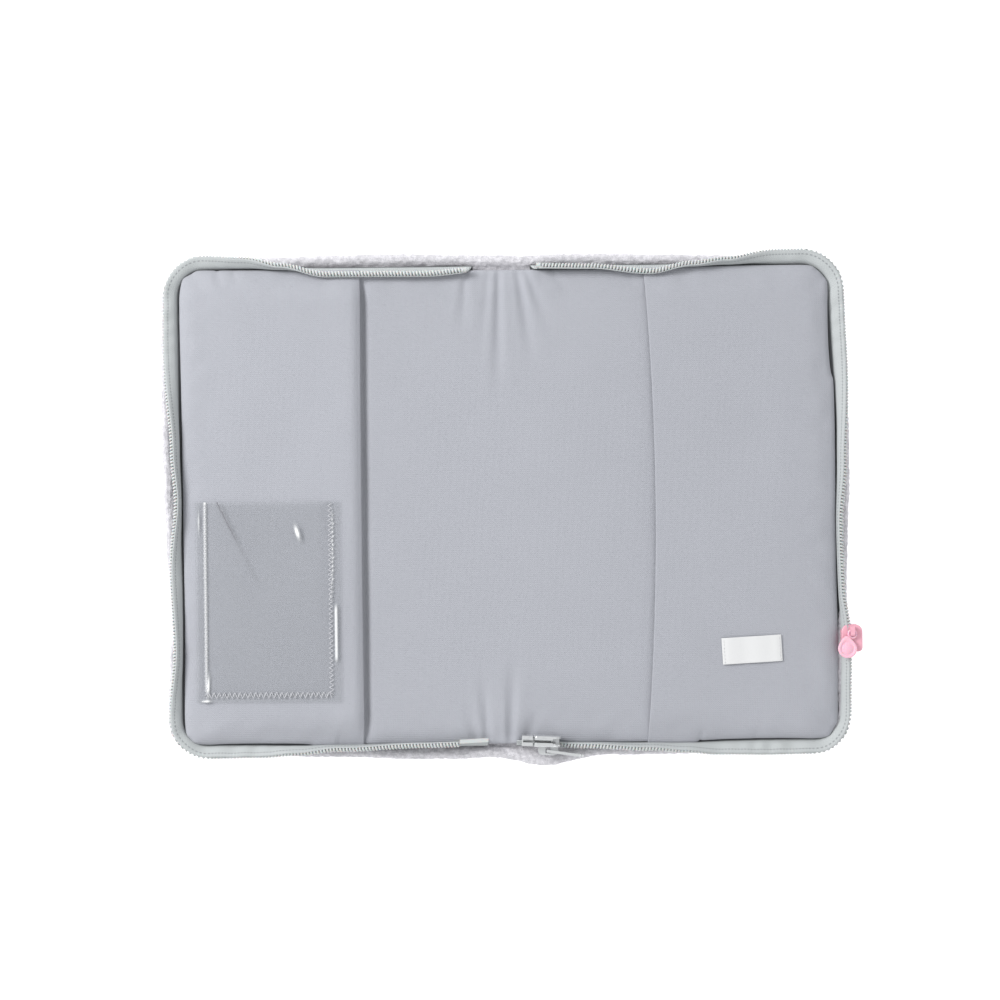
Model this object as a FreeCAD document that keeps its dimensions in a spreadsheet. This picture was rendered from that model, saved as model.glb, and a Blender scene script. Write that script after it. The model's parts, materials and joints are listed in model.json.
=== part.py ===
"""Padded zip-around folder for a baby's changing kit, opened flat.

Two padded leaves are joined by a soft spine and fold shut like a book. Each leaf is a velour
cover tray, a wadding pad, a jersey lining and a jersey sleeve flap. A separable coil zip runs
round both leaves, with two sliders threaded on the right-hand chain.

Frame: millimetres, +Z up, the inside of the folder faces up. The origin is on the underside, at
the middle of the spine. The right leaf lies along +X and the left leaf mirrors it.
"""

import FreeCAD
import Part

import Sketcher
import math
import os

Vector = FreeCAD.Vector
Rotation = FreeCAD.Rotation
Placement = FreeCAD.Placement

doc = FreeCAD.newDocument("folding_pad")
sheet = doc.addObject("Spreadsheet::Sheet", "Sizes")
sheet_rows = 0
sub_parts = []


# ---------------------------------------------------------------- driving dimensions


class Size:
    """A number together with the spreadsheet expression that gives it."""

    def __init__(self, value, text):
        self.value = float(value)
        self.text = text

    def joined(self, other, sign, value):
        other_text = other.text if isinstance(other, Size) else repr(float(other))
        return Size(value, f"({self.text} {sign} {other_text})")

    def __add__(self, other):
        return self.joined(other, "+", self.value + number(other))

    def __sub__(self, other):
        return self.joined(other, "-", self.value - number(other))

    def __mul__(self, other):
        return self.joined(other, "*", self.value * number(other))

    def __neg__(self):
        return Size(-self.value, f"(0 - {self.text})")


def number(size):
    return size.value if isinstance(size, Size) else float(size)


def driving(alias, value):
    """Puts one dimension in the sheet, under its alias, and returns it."""
    global sheet_rows
    sheet_rows += 1
    sheet.set(f"A{sheet_rows}", alias)
    sheet.set(f"B{sheet_rows}", str(value))
    sheet.setAlias(f"B{sheet_rows}", alias)
    return Size(value, f"Sizes.{alias}")


# fold
fold_line = driving("fold_line", 13.0)  # each fold line's distance from the middle of the spine
fold_height = driving("fold_height", 0.9)  # the fold lines run through the middle of the velour
fold_play = driving("fold_play", 0.3)

# layers, from the table up
underside = driving("underside", 0.0)
cover_thick = driving("cover_thick", 1.8)
pad_thick = driving("pad_thick", 4.8)
lining_thick = driving("lining_thick", 0.8)
sleeve_gap = driving("sleeve_gap", 4.3)
flap_thick = driving("flap_thick", 1.0)

# leaf outline
leaf_length = driving("leaf_length", 154.0)  # lining's outer end, from the middle of the spine
leaf_half = driving("leaf_half", 110.3)  # half the height of pad and lining
leaf_corner = driving("leaf_corner", 11.0)
rim_length = driving("rim_length", 159.4)
rim_half = driving("rim_half", 119.2)
rim_wall = driving("rim_wall", 2.8)
rim_height = driving("rim_height", 5.4)
rim_corner = driving("rim_corner", 22.0)
spine_half = driving("spine_half", 107.6)

# sleeve flaps
flap_edge = driving("flap_edge", 68.0)
flap_half = driving("flap_half", 108.0)

# zip path round a leaf
chain_end = driving("chain_end", 13.6)  # top end of the chain
run_start = driving("run_start", 111.2)  # distance of the straight runs from the middle, at chain_end
run_finish = driving("run_finish", 115.4)  # and where the straight run stops
run_length = driving("run_length", 105.0)
corner_x = driving("corner_x", 139.4)  # centre of the seam's corner arc
corner_y = driving("corner_y", 97.0)
seam_radius = driving("seam_radius", 15.8)
seam_height = driving("seam_height", 3.0)
tape_thick = driving("tape_thick", 0.5)
tape_bend_low = driving("tape_bend_low", 6.5)  # where the upright tape would bend
flat_height = driving("flat_height", 8.2)  # height of the tape where it lies flat
flat_reach = driving("flat_reach", 7.0)  # coil centre beyond the seam where the tape lies flat

# coil and its end pieces
coil_width = driving("coil_width", 3.2)
coil_thick = driving("coil_thick", 2.4)
pin_end = driving("pin_end", 8.4)
pin_root = driving("pin_root", 22.0)
pin_width = driving("pin_width", 2.4)
pin_thick = driving("pin_thick", 1.8)
box_end = driving("box_end", 7.4)
box_length = driving("box_length", 5.2)

# zip slider and its pull
slider_length = driving("slider_length", 13.0)
slider_width = driving("slider_width", 10.0)
slider_wall = driving("slider_wall", 1.2)
slider_lip = driving("slider_lip", 0.66)
channel_play = driving("channel_play", 0.15)
tape_slot = driving("tape_slot", 1.3)
post_width = driving("post_width", 1.8)
crown_width = driving("crown_width", 2.2)
crown_height = driving("crown_height", 3.1)
crown_hole = driving("crown_hole", 2.4)  # opening under the crown for the pull's bar
crown_hole_height = driving("crown_hole_height", 2.2)
metal_crown_length = driving("metal_crown_length", 9.4)
pink_crown_length = driving("pink_crown_length", 4.8)
metal_pivot = driving("metal_pivot", 0.6)  # pull's bar ahead of the slider's middle
pink_pivot = driving("pink_pivot", 3.2)
pivot_lift = driving("pivot_lift", 1.08)
metal_crown_rise = driving("metal_crown_rise", 1.0)  # lets the longer pull clear the chain
spring_thick = driving("spring_thick", 0.25)
bar_radius = driving("bar_radius", 0.7)
pull_thick = driving("pull_thick", 1.3)
metal_pull_width = driving("metal_pull_width", 5.4)
metal_pull_length = driving("metal_pull_length", 17.0)
metal_eye_width = driving("metal_eye_width", 3.2)
metal_eye_length = driving("metal_eye_length", 5.2)
hang_hole_radius = driving("hang_hole_radius", 1.6)
pink_pull_width = driving("pink_pull_width", 5.2)
pink_eye_width = driving("pink_eye_width", 2.8)
pink_eye_length = driving("pink_eye_length", 2.4)
lobe_radius = driving("lobe_radius", 4.4)
lobe_reach = driving("lobe_reach", 6.6)

# where the sliders stand
metal_slider_at = driving("metal_slider_at", 19.4)
pink_slider_at = driving("pink_slider_at", -64.4)
metal_pull_tilt = driving("metal_pull_tilt", 6.0)
pink_pull_tilt = driving("pink_pull_tilt", 4.0)

# card window and label
window_width = driving("window_width", 66.0)
window_height = driving("window_height", 95.5)
window_film = driving("window_film", 0.35)
window_gap = driving("window_gap", 0.9)
window_border = driving("window_border", 4.0)
window_x = driving("window_x", -112.3)
window_y = driving("window_y", -44.4)
window_turn = driving("window_turn", 0.6)
label_width = driving("label_width", 28.5)
label_height = driving("label_height", 12.6)
label_thick = driving("label_thick", 0.4)
label_x = driving("label_x", 117.3)
label_y = driving("label_y", -69.4)
label_turn = driving("label_turn", 3.0)
stitch_pitch = driving("stitch_pitch", 2.3)
thread = driving("thread", 0.3)

doc.recompute()

# levels and places that several pieces share
pad_top = cover_thick + pad_thick
lining_top = pad_top + lining_thick
flap_low = lining_top + sleeve_gap
flap_top = flap_low + flap_thick
closed_middle = (fold_line + fold_height).value  # half the thickness of the closed folder
coil_offset = (channel_play + post_width * 0.5 + coil_width * 0.5 + 0.02).value
coil_height = closed_middle - coil_offset
slider_channel = (coil_thick * 0.5 + channel_play).value
slider_half_thick = slider_channel + slider_wall.value
run_slope = (run_finish.value - run_start.value) / (run_length.value - chain_end.value)
run_angle = math.degrees(math.atan(run_slope))


def run_distance(x):
    """How far the upright runs of the zip are from the middle of the leaf, at x."""
    return run_start.value + (x - chain_end.value) * run_slope


# ---------------------------------------------------------------- small helpers


def keep(thing, name):
    """Labels a finished sub-part, so that it is written to parts/NAME.step."""
    thing.Label = name
    sub_parts.append(thing)
    return thing


def new_body(name):
    return doc.addObject("PartDesign::Body", name + "_body")


def new_sketch(body, role, lift=None):
    """A sketch on one of the body's own origin planes, lifted along its normal."""
    plane = next(f for f in body.Origin.OriginFeatures if f.Role == role)
    sketch = body.newObject("Sketcher::SketchObject", body.Name + "_sketch")
    sketch.AttachmentSupport = [(plane, "")]
    sketch.MapMode = "FlatFace"
    if lift is not None:
        sketch.setExpression("AttachmentOffset.Base.z", lift.text)
    return sketch


def outline(sketch, corners):
    """Draws a closed outline of straight lines, each corner held by a pair of sizes."""
    from_origin = (-1, 1)
    points = [Vector(number(x), number(y), 0) for x, y in corners]
    for i, point in enumerate(points):
        after = points[(i + 1) % len(points)]
        sketch.addGeometry(Part.LineSegment(point, after), False)
    for i in range(len(points)):
        after = (i + 1) % len(points)
        sketch.addConstraint(Sketcher.Constraint("Coincident", i, 2, after, 1))
    for i, (x, y) in enumerate(corners):
        for kind, size in (("DistanceX", x), ("DistanceY", y)):
            if abs(number(size)) < 1e-9:
                on_axis = "PointOnObject"
                axis = -2 if kind == "DistanceX" else -1
                sketch.addConstraint(Sketcher.Constraint(on_axis, i, 1, axis))
                continue
            place = sketch.addConstraint(
                Sketcher.Constraint(kind, *from_origin, i, 1, number(size))
            )
            sketch.renameConstraint(place, f"{kind}_{i}")
            if isinstance(size, Size):
                sketch.setExpression(f"Constraints.{kind}_{i}", size.text)


def rectangle(low_x, high_x, low_y, high_y):
    return [(low_x, low_y), (high_x, low_y), (high_x, high_y), (low_x, high_y)]


def pad(body, sketch, length, middle=False):
    feature = body.newObject("PartDesign::Pad", body.Name + "_pad")
    feature.Profile = sketch
    feature.setExpression("Length", length.text)
    feature.Midplane = middle
    doc.recompute()
    return feature


def pocket(body, sketch, length=None, backwards=False, middle=False):
    """Cuts the sketch out of the body. It checks that the cut took something away."""
    before = body.Shape.Volume
    feature = body.newObject("PartDesign::Pocket", body.Name + "_pocket")
    feature.Profile = sketch
    if length is None:
        feature.Type = "ThroughAll"
    else:
        feature.setExpression("Length", length.text)
    feature.Reversed = backwards
    feature.Midplane = middle
    doc.recompute()
    if not body.Shape.Volume < before - 1e-6:
        raise RuntimeError(f"{feature.Name} cut nothing")
    return feature


def edges_where(shape, test):
    """Names of the edges whose middle point and direction pass the test."""
    names = []
    for i, edge in enumerate(shape.Edges, 1):
        ends = [v.Point for v in edge.Vertexes]
        if len(ends) == 2 and test(edge.CenterOfMass, (ends[1] - ends[0]).normalize()):
            names.append(f"Edge{i}")
    return names


def upright(direction):
    return abs(direction.z) > 0.99


def round_edges(body, kind, size, test):
    """Adds a fillet or chamfer to the edges of the body's last feature that pass the test."""
    base = body.Tip
    names = edges_where(body.Shape, test)
    if not names:
        raise RuntimeError(f"no edges to round on {body.Name}")
    feature = body.newObject(f"PartDesign::{kind}", f"{body.Name}_{kind.lower()}")
    feature.Base = (base, names)
    feature.setExpression("Radius" if kind == "Fillet" else "Size", size.text)
    doc.recompute()
    return feature


def part_box(name, length, width, height, place):
    """A box centred on place along X and Y, standing on it, with its sizes in the sheet."""
    box = doc.addObject("Part::Box", name)
    for side, size in (("Length", length), ("Width", width), ("Height", height)):
        if isinstance(size, Size):
            box.setExpression(side, size.text)
        else:
            setattr(box, side, size)
    shift = Vector(-number(length) / 2, -number(width) / 2, 0)
    box.Placement = Placement(place.Base + place.Rotation.multVec(shift), place.Rotation)
    return box


def combined(kind, name, base, tool):
    """A Part::Cut or Part::Fuse of two objects."""
    made = doc.addObject(f"Part::{kind}", name)
    made.Base = base
    made.Tool = tool
    doc.recompute()
    return made


def moved(thing, place):
    """Puts a finished boolean in its place in the row frame."""
    thing.Placement = place.multiply(thing.Placement)
    return thing


def at(x, y, z, rotation=None):
    return Placement(Vector(x, y, z), rotation or Rotation())


def mirrored(thing, name):
    """The same piece on the other leaf, mirrored across the middle of the spine."""
    twin = doc.addObject("Part::Mirroring", name + "_twin")
    twin.Source = thing
    twin.Base = Vector(0, 0, 0)
    twin.Normal = Vector(1, 0, 0)
    doc.recompute()
    return keep(twin, name)


# ---------------------------------------------------------------- leaves and spine


def cover_tray():
    """Velour cover of a leaf: a flat floor with a low soft rim on the three outer sides."""
    body = new_body("right_cover")
    inner_end = fold_line + fold_height + fold_play
    floor = new_sketch(body, "XY_Plane")
    outline(floor, rectangle(inner_end, rim_length, -rim_half, rim_half))
    pad(body, floor, rim_height)
    inside = new_sketch(body, "XY_Plane", rim_height)
    wall_half = rim_half - rim_wall
    wall_length = rim_length - rim_wall
    outline(inside, rectangle(fold_line, wall_length, -wall_half, wall_half))
    pocket(body, inside, rim_height - cover_thick)
    inner_corner = lambda middle, way: upright(way) and abs(middle.x - wall_length.value) < 0.1
    round_edges(body, "Fillet", rim_corner - rim_wall, inner_corner)
    outer_corner = lambda middle, way: upright(way) and middle.x > rim_length.value - 0.1
    round_edges(body, "Fillet", rim_corner, outer_corner)
    bottom_rim = lambda middle, way: middle.z < 0.1 and middle.x > fold_line.value + 5
    round_edges(body, "Fillet", cover_thick * 0.8, bottom_rim)
    return keep(body, "right_cover")


def mitred_slab(name, low, high, outer_end, half, corner=None):
    """A layer whose inner end leans at 45 degrees, so that it clears the spine when it folds."""
    body = new_body(name)
    low_end = fold_line + low - fold_height + fold_play
    high_end = fold_line + high - fold_height + fold_play
    profile = new_sketch(body, "XZ_Plane")
    outline(profile, [(low_end, low), (outer_end, low), (outer_end, high), (high_end, high)])
    pad(body, profile, half * 2.0, middle=True)
    outer = lambda middle, way: upright(way) and middle.x > outer_end.value - 1
    round_edges(body, "Fillet", corner, outer)
    return keep(body, name)


def spine_slab(name, low, high):
    """A layer of the spine, mitred on both sides."""
    body = new_body(name)
    low_end = fold_line - low + fold_height - fold_play
    high_end = fold_line - high + fold_height - fold_play
    if low.value < fold_height.value:
        low_end = high_end
    profile = new_sketch(body, "XZ_Plane")
    outline(profile, [(-low_end, low), (low_end, low), (high_end, high), (-high_end, high)])
    pad(body, profile, spine_half * 2.0, middle=True)
    return keep(body, name)


def sleeve_flap():
    """Jersey flap sewn down on three sides; a booklet's cover slides in from the spine side."""
    body = new_body("right_flap")
    outer_end = leaf_length + flap_thick * 0.5
    footprint = new_sketch(body, "XY_Plane", lining_top)
    outline(footprint, rectangle(flap_edge, outer_end, -flap_half, flap_half))
    pad(body, footprint, sleeve_gap + flap_thick)
    outer = lambda middle, way: upright(way) and middle.x > leaf_length.value
    round_edges(body, "Fillet", leaf_corner, outer)
    inside = new_sketch(body, "XY_Plane", lining_top)
    inner_half = flap_half - flap_thick
    outline(inside, rectangle(fold_line, outer_end - flap_thick, -inner_half, inner_half))
    pocket(body, inside, sleeve_gap, backwards=True)
    return keep(body, "right_flap")


# ---------------------------------------------------------------- zip chain


def zip_stations(first_x, last_x):
    """Stations along the seam, from the top end round the leaf to the bottom end.

    Each is (seam point, outward normal, flatness): the tape stands upright at flatness 0
    beside the spine and lies flat at flatness 1 along the corners and the outer side.
    """
    turn_steps = 8
    ease_steps = 6
    run_normal = Vector(-run_slope, 1, 0).normalize()
    corner = Vector(corner_x.value, corner_y.value, 0)
    top = Vector(corner_x.value, corner_y.value + seam_radius.value, 0)

    def half(start_x):
        stations = [(Vector(start_x, run_distance(start_x), 0), run_normal, 0.0)]
        finish = Vector(run_length.value, run_finish.value, 0)
        for i in range(ease_steps):
            share = i / ease_steps
            flatness = share * share * (3 - 2 * share)
            normal = (run_normal * (1 - share) + Vector(0, share, 0)).normalize()
            stations.append((finish * (1 - share) + top * share, normal, flatness))
        for i in range(turn_steps + 1):
            angle = math.radians(90 * (1 - i / turn_steps))
            normal = Vector(math.cos(angle), math.sin(angle), 0)
            stations.append((corner + normal * seam_radius.value, normal, 1.0))
        return stations

    def below(vector):
        return Vector(vector.x, -vector.y, vector.z)

    lower = [(below(p), below(n), f) for p, n, f in half(last_x)]
    return half(first_x) + lower[::-1]


def section_axis(flatness):
    """Bend height, direction from bend to coil and distance from bend to coil centre."""
    bend = tape_bend_low.value + (flat_height.value - tape_bend_low.value) * flatness
    angle = math.radians(90 * (1 - flatness))
    upright_reach = coil_height - tape_bend_low.value
    reach = upright_reach + (flat_reach.value - upright_reach) * flatness
    return bend, (math.cos(angle), math.sin(angle)), reach


def tape_section(flatness):
    """Cross-section of the tape as (outward, up) points: seam, bend and free edge."""
    bend, (out, up), reach = section_axis(flatness)
    half = tape_thick.value / 2
    edge = reach - coil_width.value / 2 - 0.03
    mitre = math.radians(90 * flatness) / 2
    corner_out = half
    corner_up = half * math.tan(mitre)
    return [
        (half, seam_height.value),
        (corner_out, bend - corner_up),
        (edge * out + half * up, bend + edge * up - half * out),
        (edge * out - half * up, bend + edge * up + half * out),
        (-corner_out, bend + corner_up),
        (-half, seam_height.value),
    ]


def coil_section(flatness):
    """Eight-sided cross-section of the coil, longer across the tape than through it."""
    bend, (out, up), reach = section_axis(flatness)
    along, through = coil_width.value / 2, coil_thick.value / 2
    cut = through * 0.5
    shape = []
    for a, t in (
        (along, through - cut),
        (along - cut, through),
        (cut - along, through),
        (-along, through - cut),
        (-along, cut - through),
        (cut - along, -through),
        (along - cut, -through),
        (along, cut - through),
    ):
        shape.append(((reach + a) * out - t * up, bend + (reach + a) * up + t * out))
    return shape


def lofted_band(name, stations, section):
    """A solid through one cross-section per station."""
    wires = []
    for seam, normal, flatness in stations:
        points = [seam + normal * out + Vector(0, 0, up) for out, up in section(flatness)]
        wires.append(Part.makePolygon(points + points[:1]))
    band = doc.addObject("Part::Feature", name + "_band")
    band.Shape = Part.makeLoft(wires, True, True)
    band.Placement = Placement()
    return keep(band, name)


def run_frame(x, side):
    """Placement on the upright run at x: local X along the run, local Y up, local Z outwards.

    The height is that of the middle of the closed folder.
    """
    turn = Rotation(Vector(0, 0, 1), -run_angle) if side < 0 else Rotation(Vector(0, 0, 1), run_angle)
    stand = Rotation(Vector(1, 0, 0), 90 if side < 0 else -90)
    centre = Vector(x, side * run_distance(x), closed_middle)
    return Placement(centre, turn.multiply(stand))


def top_stop():
    """Small clamped metal stop on the top end of the chain."""
    length = 2.0
    frame = run_frame(chain_end.value - length / 2 - 0.1, 1)
    wide = coil_width + 0.6
    thick = coil_thick + 0.6
    place = at(0, coil_offset, -thick.value / 2)
    stop = part_box("top_stop_block", length, wide, thick, place)
    slot = part_box("top_stop_slot", length * 0.5, wide * 0.5, thick * 2.0, at(-length, 0, 0))
    made = combined("Cut", "right_top_stop_made", stop, slot)
    return keep(moved(made, frame), "right_top_stop")


def insertion_pin(frame):
    """Bar on the bottom end of the left chain, built on the right and mirrored."""
    length = pin_root - pin_end
    middle = (pin_root.value + pin_end.value) / 2 - metal_slider_at.value
    place = at(middle, -coil_offset, -pin_thick.value / 2)
    bar = part_box("pin_bar", length, pin_width, pin_thick, place)
    bar.Placement = frame.multiply(bar.Placement)
    doc.recompute()
    return mirrored(bar, "insertion_pin")


def retainer_box(frame):
    """Box that catches the insertion pin and its tape, with the bar that the slider parks on."""
    start = box_end.value - metal_slider_at.value
    middle = start + box_length.value / 2
    top = slider_width.value / 2
    bottom = coil_offset + coil_width.value / 2 - 0.02
    height = top + bottom
    centre = (top - bottom) / 2
    thick = slider_half_thick * 2 - 0.3
    shell = part_box("box_shell", box_length, height, thick, at(middle, centre, -thick / 2))
    cavity_length = box_length - 0.6
    cavity_middle = middle + 0.6 / 2 + 0.01
    cavity_place = at(cavity_middle, coil_offset, -(pin_thick.value + 0.5) / 2)
    cavity = part_box("box_cavity", cavity_length, pin_width + 0.5, pin_thick + 0.5, cavity_place)
    slot_place = at(cavity_middle, coil_offset + top / 2, -tape_slot.value / 2)
    slot = part_box("box_slot", cavity_length, top, tape_slot, slot_place)
    hollow = combined("Cut", "box_hollow", combined("Cut", "box_room", shell, cavity), slot)
    bar_start = start + box_length.value
    bar_length = pin_root.value - metal_slider_at.value - bar_start
    bar_place = at(bar_start + bar_length / 2 - 0.25, -coil_offset, -pin_thick.value / 2)
    bar = part_box("box_bar", bar_length + 0.5, pin_width, pin_thick, bar_place)
    made = combined("Fuse", "retainer_box_made", hollow, bar)
    return keep(moved(made, frame), "retainer_box")


def end_film():
    """Clear film that stiffens the bottom end of the tape, beside the end pieces."""
    film_thick = 0.15
    frame = run_frame(17.0, -1)
    tall = coil_height - coil_width.value / 2 - tape_bend_low.value + 2.0
    middle_up = tape_bend_low.value - 2.0 + tall / 2 - closed_middle - 0.1
    place = at(0, middle_up, -tape_thick.value / 2 - film_thick)
    film = part_box("film_plate", 15.0, tall, film_thick, place)
    film.Placement = frame.multiply(film.Placement)
    doc.recompute()
    return keep(film, "right_end_film")


# ---------------------------------------------------------------- sliders and pulls


def slider_body(prefix, frame):
    """Cast slider: two plates joined by a post, with lips that keep the coils in."""
    body = new_body(prefix + "_slider_body")
    half_long = slider_length * 0.5
    half_wide = slider_width * 0.5
    channel = coil_thick * 0.5 + channel_play
    half_thick = channel + slider_wall
    block = new_sketch(body, "XY_Plane")
    outline(block, rectangle(-half_long, half_long, -half_wide, half_wide))
    pad(body, block, half_thick * 2.0, middle=True)
    rear = lambda middle, way: upright(way) and middle.x < 0
    front = lambda middle, way: upright(way) and middle.x > 0
    round_edges(body, "Fillet", slider_width * 0.2, rear)
    round_edges(body, "Fillet", slider_width * 0.36, front)
    outer_rim = lambda middle, way: abs(middle.z) > half_thick.value - 0.01
    round_edges(body, "Fillet", slider_wall * 0.5, outer_rim)
    for half_gap, half_height in ((half_wide - slider_lip, channel), (slider_width, tape_slot * 0.5)):
        hollow = new_sketch(body, "YZ_Plane")
        outline(hollow, rectangle(-half_gap, half_gap, -half_height, half_height))
        pocket(body, hollow, slider_length * 2.0, middle=True)
    window = new_sketch(body, "XY_Plane")
    outline(window, rectangle(half_long * 0.42, slider_length, -slider_width, slider_width))
    pocket(body, window, channel * 2.0, middle=True)
    post = new_sketch(body, "XY_Plane")
    half_post = post_width * 0.5
    tip = half_long - slider_wall * 0.6
    back = half_long * 0.3
    shoulder = half_long * 0.62
    diamond = [(back, 0), (shoulder, -half_post), (tip, 0), (shoulder, half_post)]
    outline(post, diamond)
    pad(body, post, half_thick * 1.8, middle=True)
    body.Placement = frame
    return keep(body, prefix + "_slider_body")


def slider_crown(prefix, crown_length, pivot, tall, opening):
    """Arched crown on the slider's outer plate; the pull's bar turns in the hole under it."""
    floor = slider_half_thick + 0.01
    place = at(pivot.value, 0, floor)
    block = part_box(prefix + "_crown_block", crown_length, crown_width, tall, place)
    hole = part_box(prefix + "_crown_hole", crown_hole, crown_width * 2.0, opening, place)
    arch = combined("Cut", prefix + "_crown_arch", block, hole)
    soft = doc.addObject("Part::Fillet", prefix + "_crown_soft")
    soft.Base = arch
    top = floor + tall.value
    across = lambda middle, way: abs(way.y) > 0.99 and middle.z > top - 0.01
    radius = min(crown_height.value, crown_length.value / 2) * 0.7
    soft.Edges = [(int(n[4:]), radius, radius) for n in edges_where(arch.Shape, across)]
    doc.recompute()
    return soft


def metal_crown(frame):
    """The metal slider's crown, hollowed behind the hole to hold the lock spring."""
    tall = crown_height + metal_crown_rise
    opening = crown_hole_height + metal_crown_rise
    soft = slider_crown("metal", metal_crown_length, metal_pivot, tall, opening)
    length = metal_crown_length.value * 0.3
    middle = metal_pivot.value - crown_hole.value / 2 - length / 2
    place = at(middle + 0.1, 0, slider_half_thick)
    room = part_box("metal_crown_room", length + 0.2, crown_width * 0.55, spring_thick * 6.0, place)
    made = combined("Cut", "metal_crown_made", soft, room)
    return keep(moved(made, frame), "metal_slider_crown")


def pink_crown(frame):
    soft = slider_crown("pink", pink_crown_length, pink_pivot, crown_height, crown_hole_height)
    return keep(moved(soft, frame), "pink_slider_crown")


def lock_spring(frame):
    """Leaf spring inside the crown, with the prong that locks the slider on the coil."""
    low = slider_half_thick + spring_thick.value * 4
    front = metal_pivot.value - crown_hole.value / 2 + 0.1
    length = metal_crown_length.value * 0.3 - 0.3
    wide = crown_width.value * 0.4
    strip = part_box("spring_strip", length, wide, spring_thick, at(front - length / 2, 0, low))
    prong_height = low - slider_half_thick
    prong_middle = front - length + spring_thick.value
    prong_place = at(prong_middle, 0, slider_half_thick + 0.02)
    prong = part_box("spring_prong", spring_thick * 2.0, wide, prong_height, prong_place)
    made = combined("Fuse", "spring_made", strip, prong)
    return keep(moved(made, frame), "metal_lock_spring")


def pierced_tab(prefix, tab, eye_length, eye_width):
    """Cuts the eye that lets the tab swing over the crown, just beyond its bar."""
    eye_tall = pull_thick * 4.0
    eye_place = at(bar_radius.value + eye_length.value / 2, 0, -eye_tall.value / 2)
    eye = part_box(prefix + "_pull_eye", eye_length, eye_width, eye_tall, eye_place)
    return combined("Cut", prefix + "_pull_pierced", tab, eye)


def metal_pull(frame):
    """Flat metal tab along +X, its bar on the origin, with a hole in its free end."""
    whole = metal_pull_length + bar_radius
    middle = whole.value / 2 - bar_radius.value
    place = at(middle, 0, -pull_thick.value / 2)
    blank = part_box("metal_pull_blank", whole, metal_pull_width, pull_thick, place)
    doc.recompute()
    soft = doc.addObject("Part::Fillet", "metal_pull_soft")
    soft.Base = blank
    ends = {}
    for name in edges_where(blank.Shape, lambda point, way: upright(way)):
        number_in_name = int(name[4:])
        far_end = blank.Shape.Edges[number_in_name - 1].CenterOfMass.x > middle
        ends[number_in_name] = (0.4 if far_end else 0.2) * metal_pull_width.value
    soft.Edges = [(i, radius, radius) for i, radius in ends.items()]
    doc.recompute()
    pierced = pierced_tab("metal", soft, metal_eye_length, metal_eye_width)
    drill = doc.addObject("Part::Cylinder", "metal_pull_drill")
    drill.setExpression("Radius", hang_hole_radius.text)
    drill.setExpression("Height", (pull_thick * 4.0).text)
    hole_at = metal_pull_length.value - hang_hole_radius.value * 2
    drill.Placement = at(hole_at, 0, -pull_thick.value * 2)
    made = combined("Cut", "metal_pull_made", pierced, drill)
    return keep(moved(made, frame), "metal_pull_tab")


def pink_pull(frame):
    """Short soft-touch drop: a neck with the bar, and a round lobe."""
    whole = lobe_reach + bar_radius
    middle = whole.value / 2 - bar_radius.value
    low = -pull_thick.value / 2
    blank = part_box("pink_pull_neck", whole, pink_pull_width, pull_thick, at(middle, 0, low))
    lobe = doc.addObject("Part::Cylinder", "pink_pull_lobe")
    lobe.setExpression("Radius", lobe_radius.text)
    lobe.setExpression("Height", pull_thick.text)
    lobe.Placement = at(lobe_reach.value, 0, low)
    drop = combined("Fuse", "pink_pull_drop", blank, lobe)
    made = pierced_tab("pink", drop, pink_eye_length, pink_eye_width)
    return keep(moved(made, frame), "pink_pull_tab")


# ---------------------------------------------------------------- window, label and stitches


def card_window():
    """Clear film pocket, sewn on three sides and open at the top."""
    body = new_body("card_window")
    half_wide = window_width * 0.5
    half_high = window_height * 0.5
    film = new_sketch(body, "XY_Plane")
    outline(film, rectangle(-half_wide, half_wide, -half_high, half_high))
    pad(body, film, window_gap + window_film)
    inner = half_wide - window_border
    inside = new_sketch(body, "XY_Plane")
    outline(inside, rectangle(-inner, inner, window_border - half_high, half_high + 1.0))
    pocket(body, inside, window_gap, backwards=True)
    body.Placement = at(
        window_x.value, window_y.value, flap_top.value, Rotation(Vector(0, 0, 1), window_turn.value)
    )
    return keep(body, "card_window")


def bar_between(start, end, size):
    """A thin square bar from start to end, lying on the level of the two points."""
    way = end - start
    turn = Rotation(Vector(1, 0, 0), way)
    bar = Part.makeBox(way.Length, size, size, Vector(0, -size / 2, 0))
    bar.Placement = Placement(start, turn)
    return bar


def stitch_group(name, bars, place):
    """Many separate stitches in one node."""
    group = doc.addObject("Part::Feature", name + "_group")
    group.Shape = Part.makeCompound(bars)
    group.Placement = place
    return keep(group, name)


def zigzag(start, end, half_wide, size):
    """A row of zigzag stitches from start to end, each a bar that stops short of the next."""
    way = end - start
    steps = int(round(way.Length / stitch_pitch.value)) * 2
    side = Vector(-way.y, way.x, 0).normalize() * half_wide
    gap = 0.12
    bars = []
    for i in range(steps):
        here = start + way * (i / steps) + side * (1 if i % 2 else -1)
        there = start + way * ((i + 1) / steps) + side * (-1 if i % 2 else 1)
        bars.append(bar_between(here + (there - here) * gap, there - (there - here) * gap, size))
    return bars


def window_stitches():
    """Zigzag thread on the two sides and the bottom of the card window."""
    inset = window_border.value * 0.7
    side_x = window_width.value / 2 - inset
    top_y = window_height.value / 2 - 1.0
    low_y = inset - window_height.value / 2
    half_wide = 1.0
    corner = half_wide + 0.6
    rows = [
        (Vector(-side_x, top_y, 0), Vector(-side_x, low_y + corner, 0)),
        (Vector(side_x, top_y, 0), Vector(side_x, low_y + corner, 0)),
        (Vector(-side_x, low_y, 0), Vector(side_x, low_y, 0)),
    ]
    bars = []
    for start, end in rows:
        bars += zigzag(start, end, half_wide, thread.value * 0.5)
    level = (flap_top + window_gap + window_film).value + 0.01
    turn = Rotation(Vector(0, 0, 1), window_turn.value)
    return stitch_group("window_stitches", bars, at(window_x.value, window_y.value, level, turn))


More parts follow.
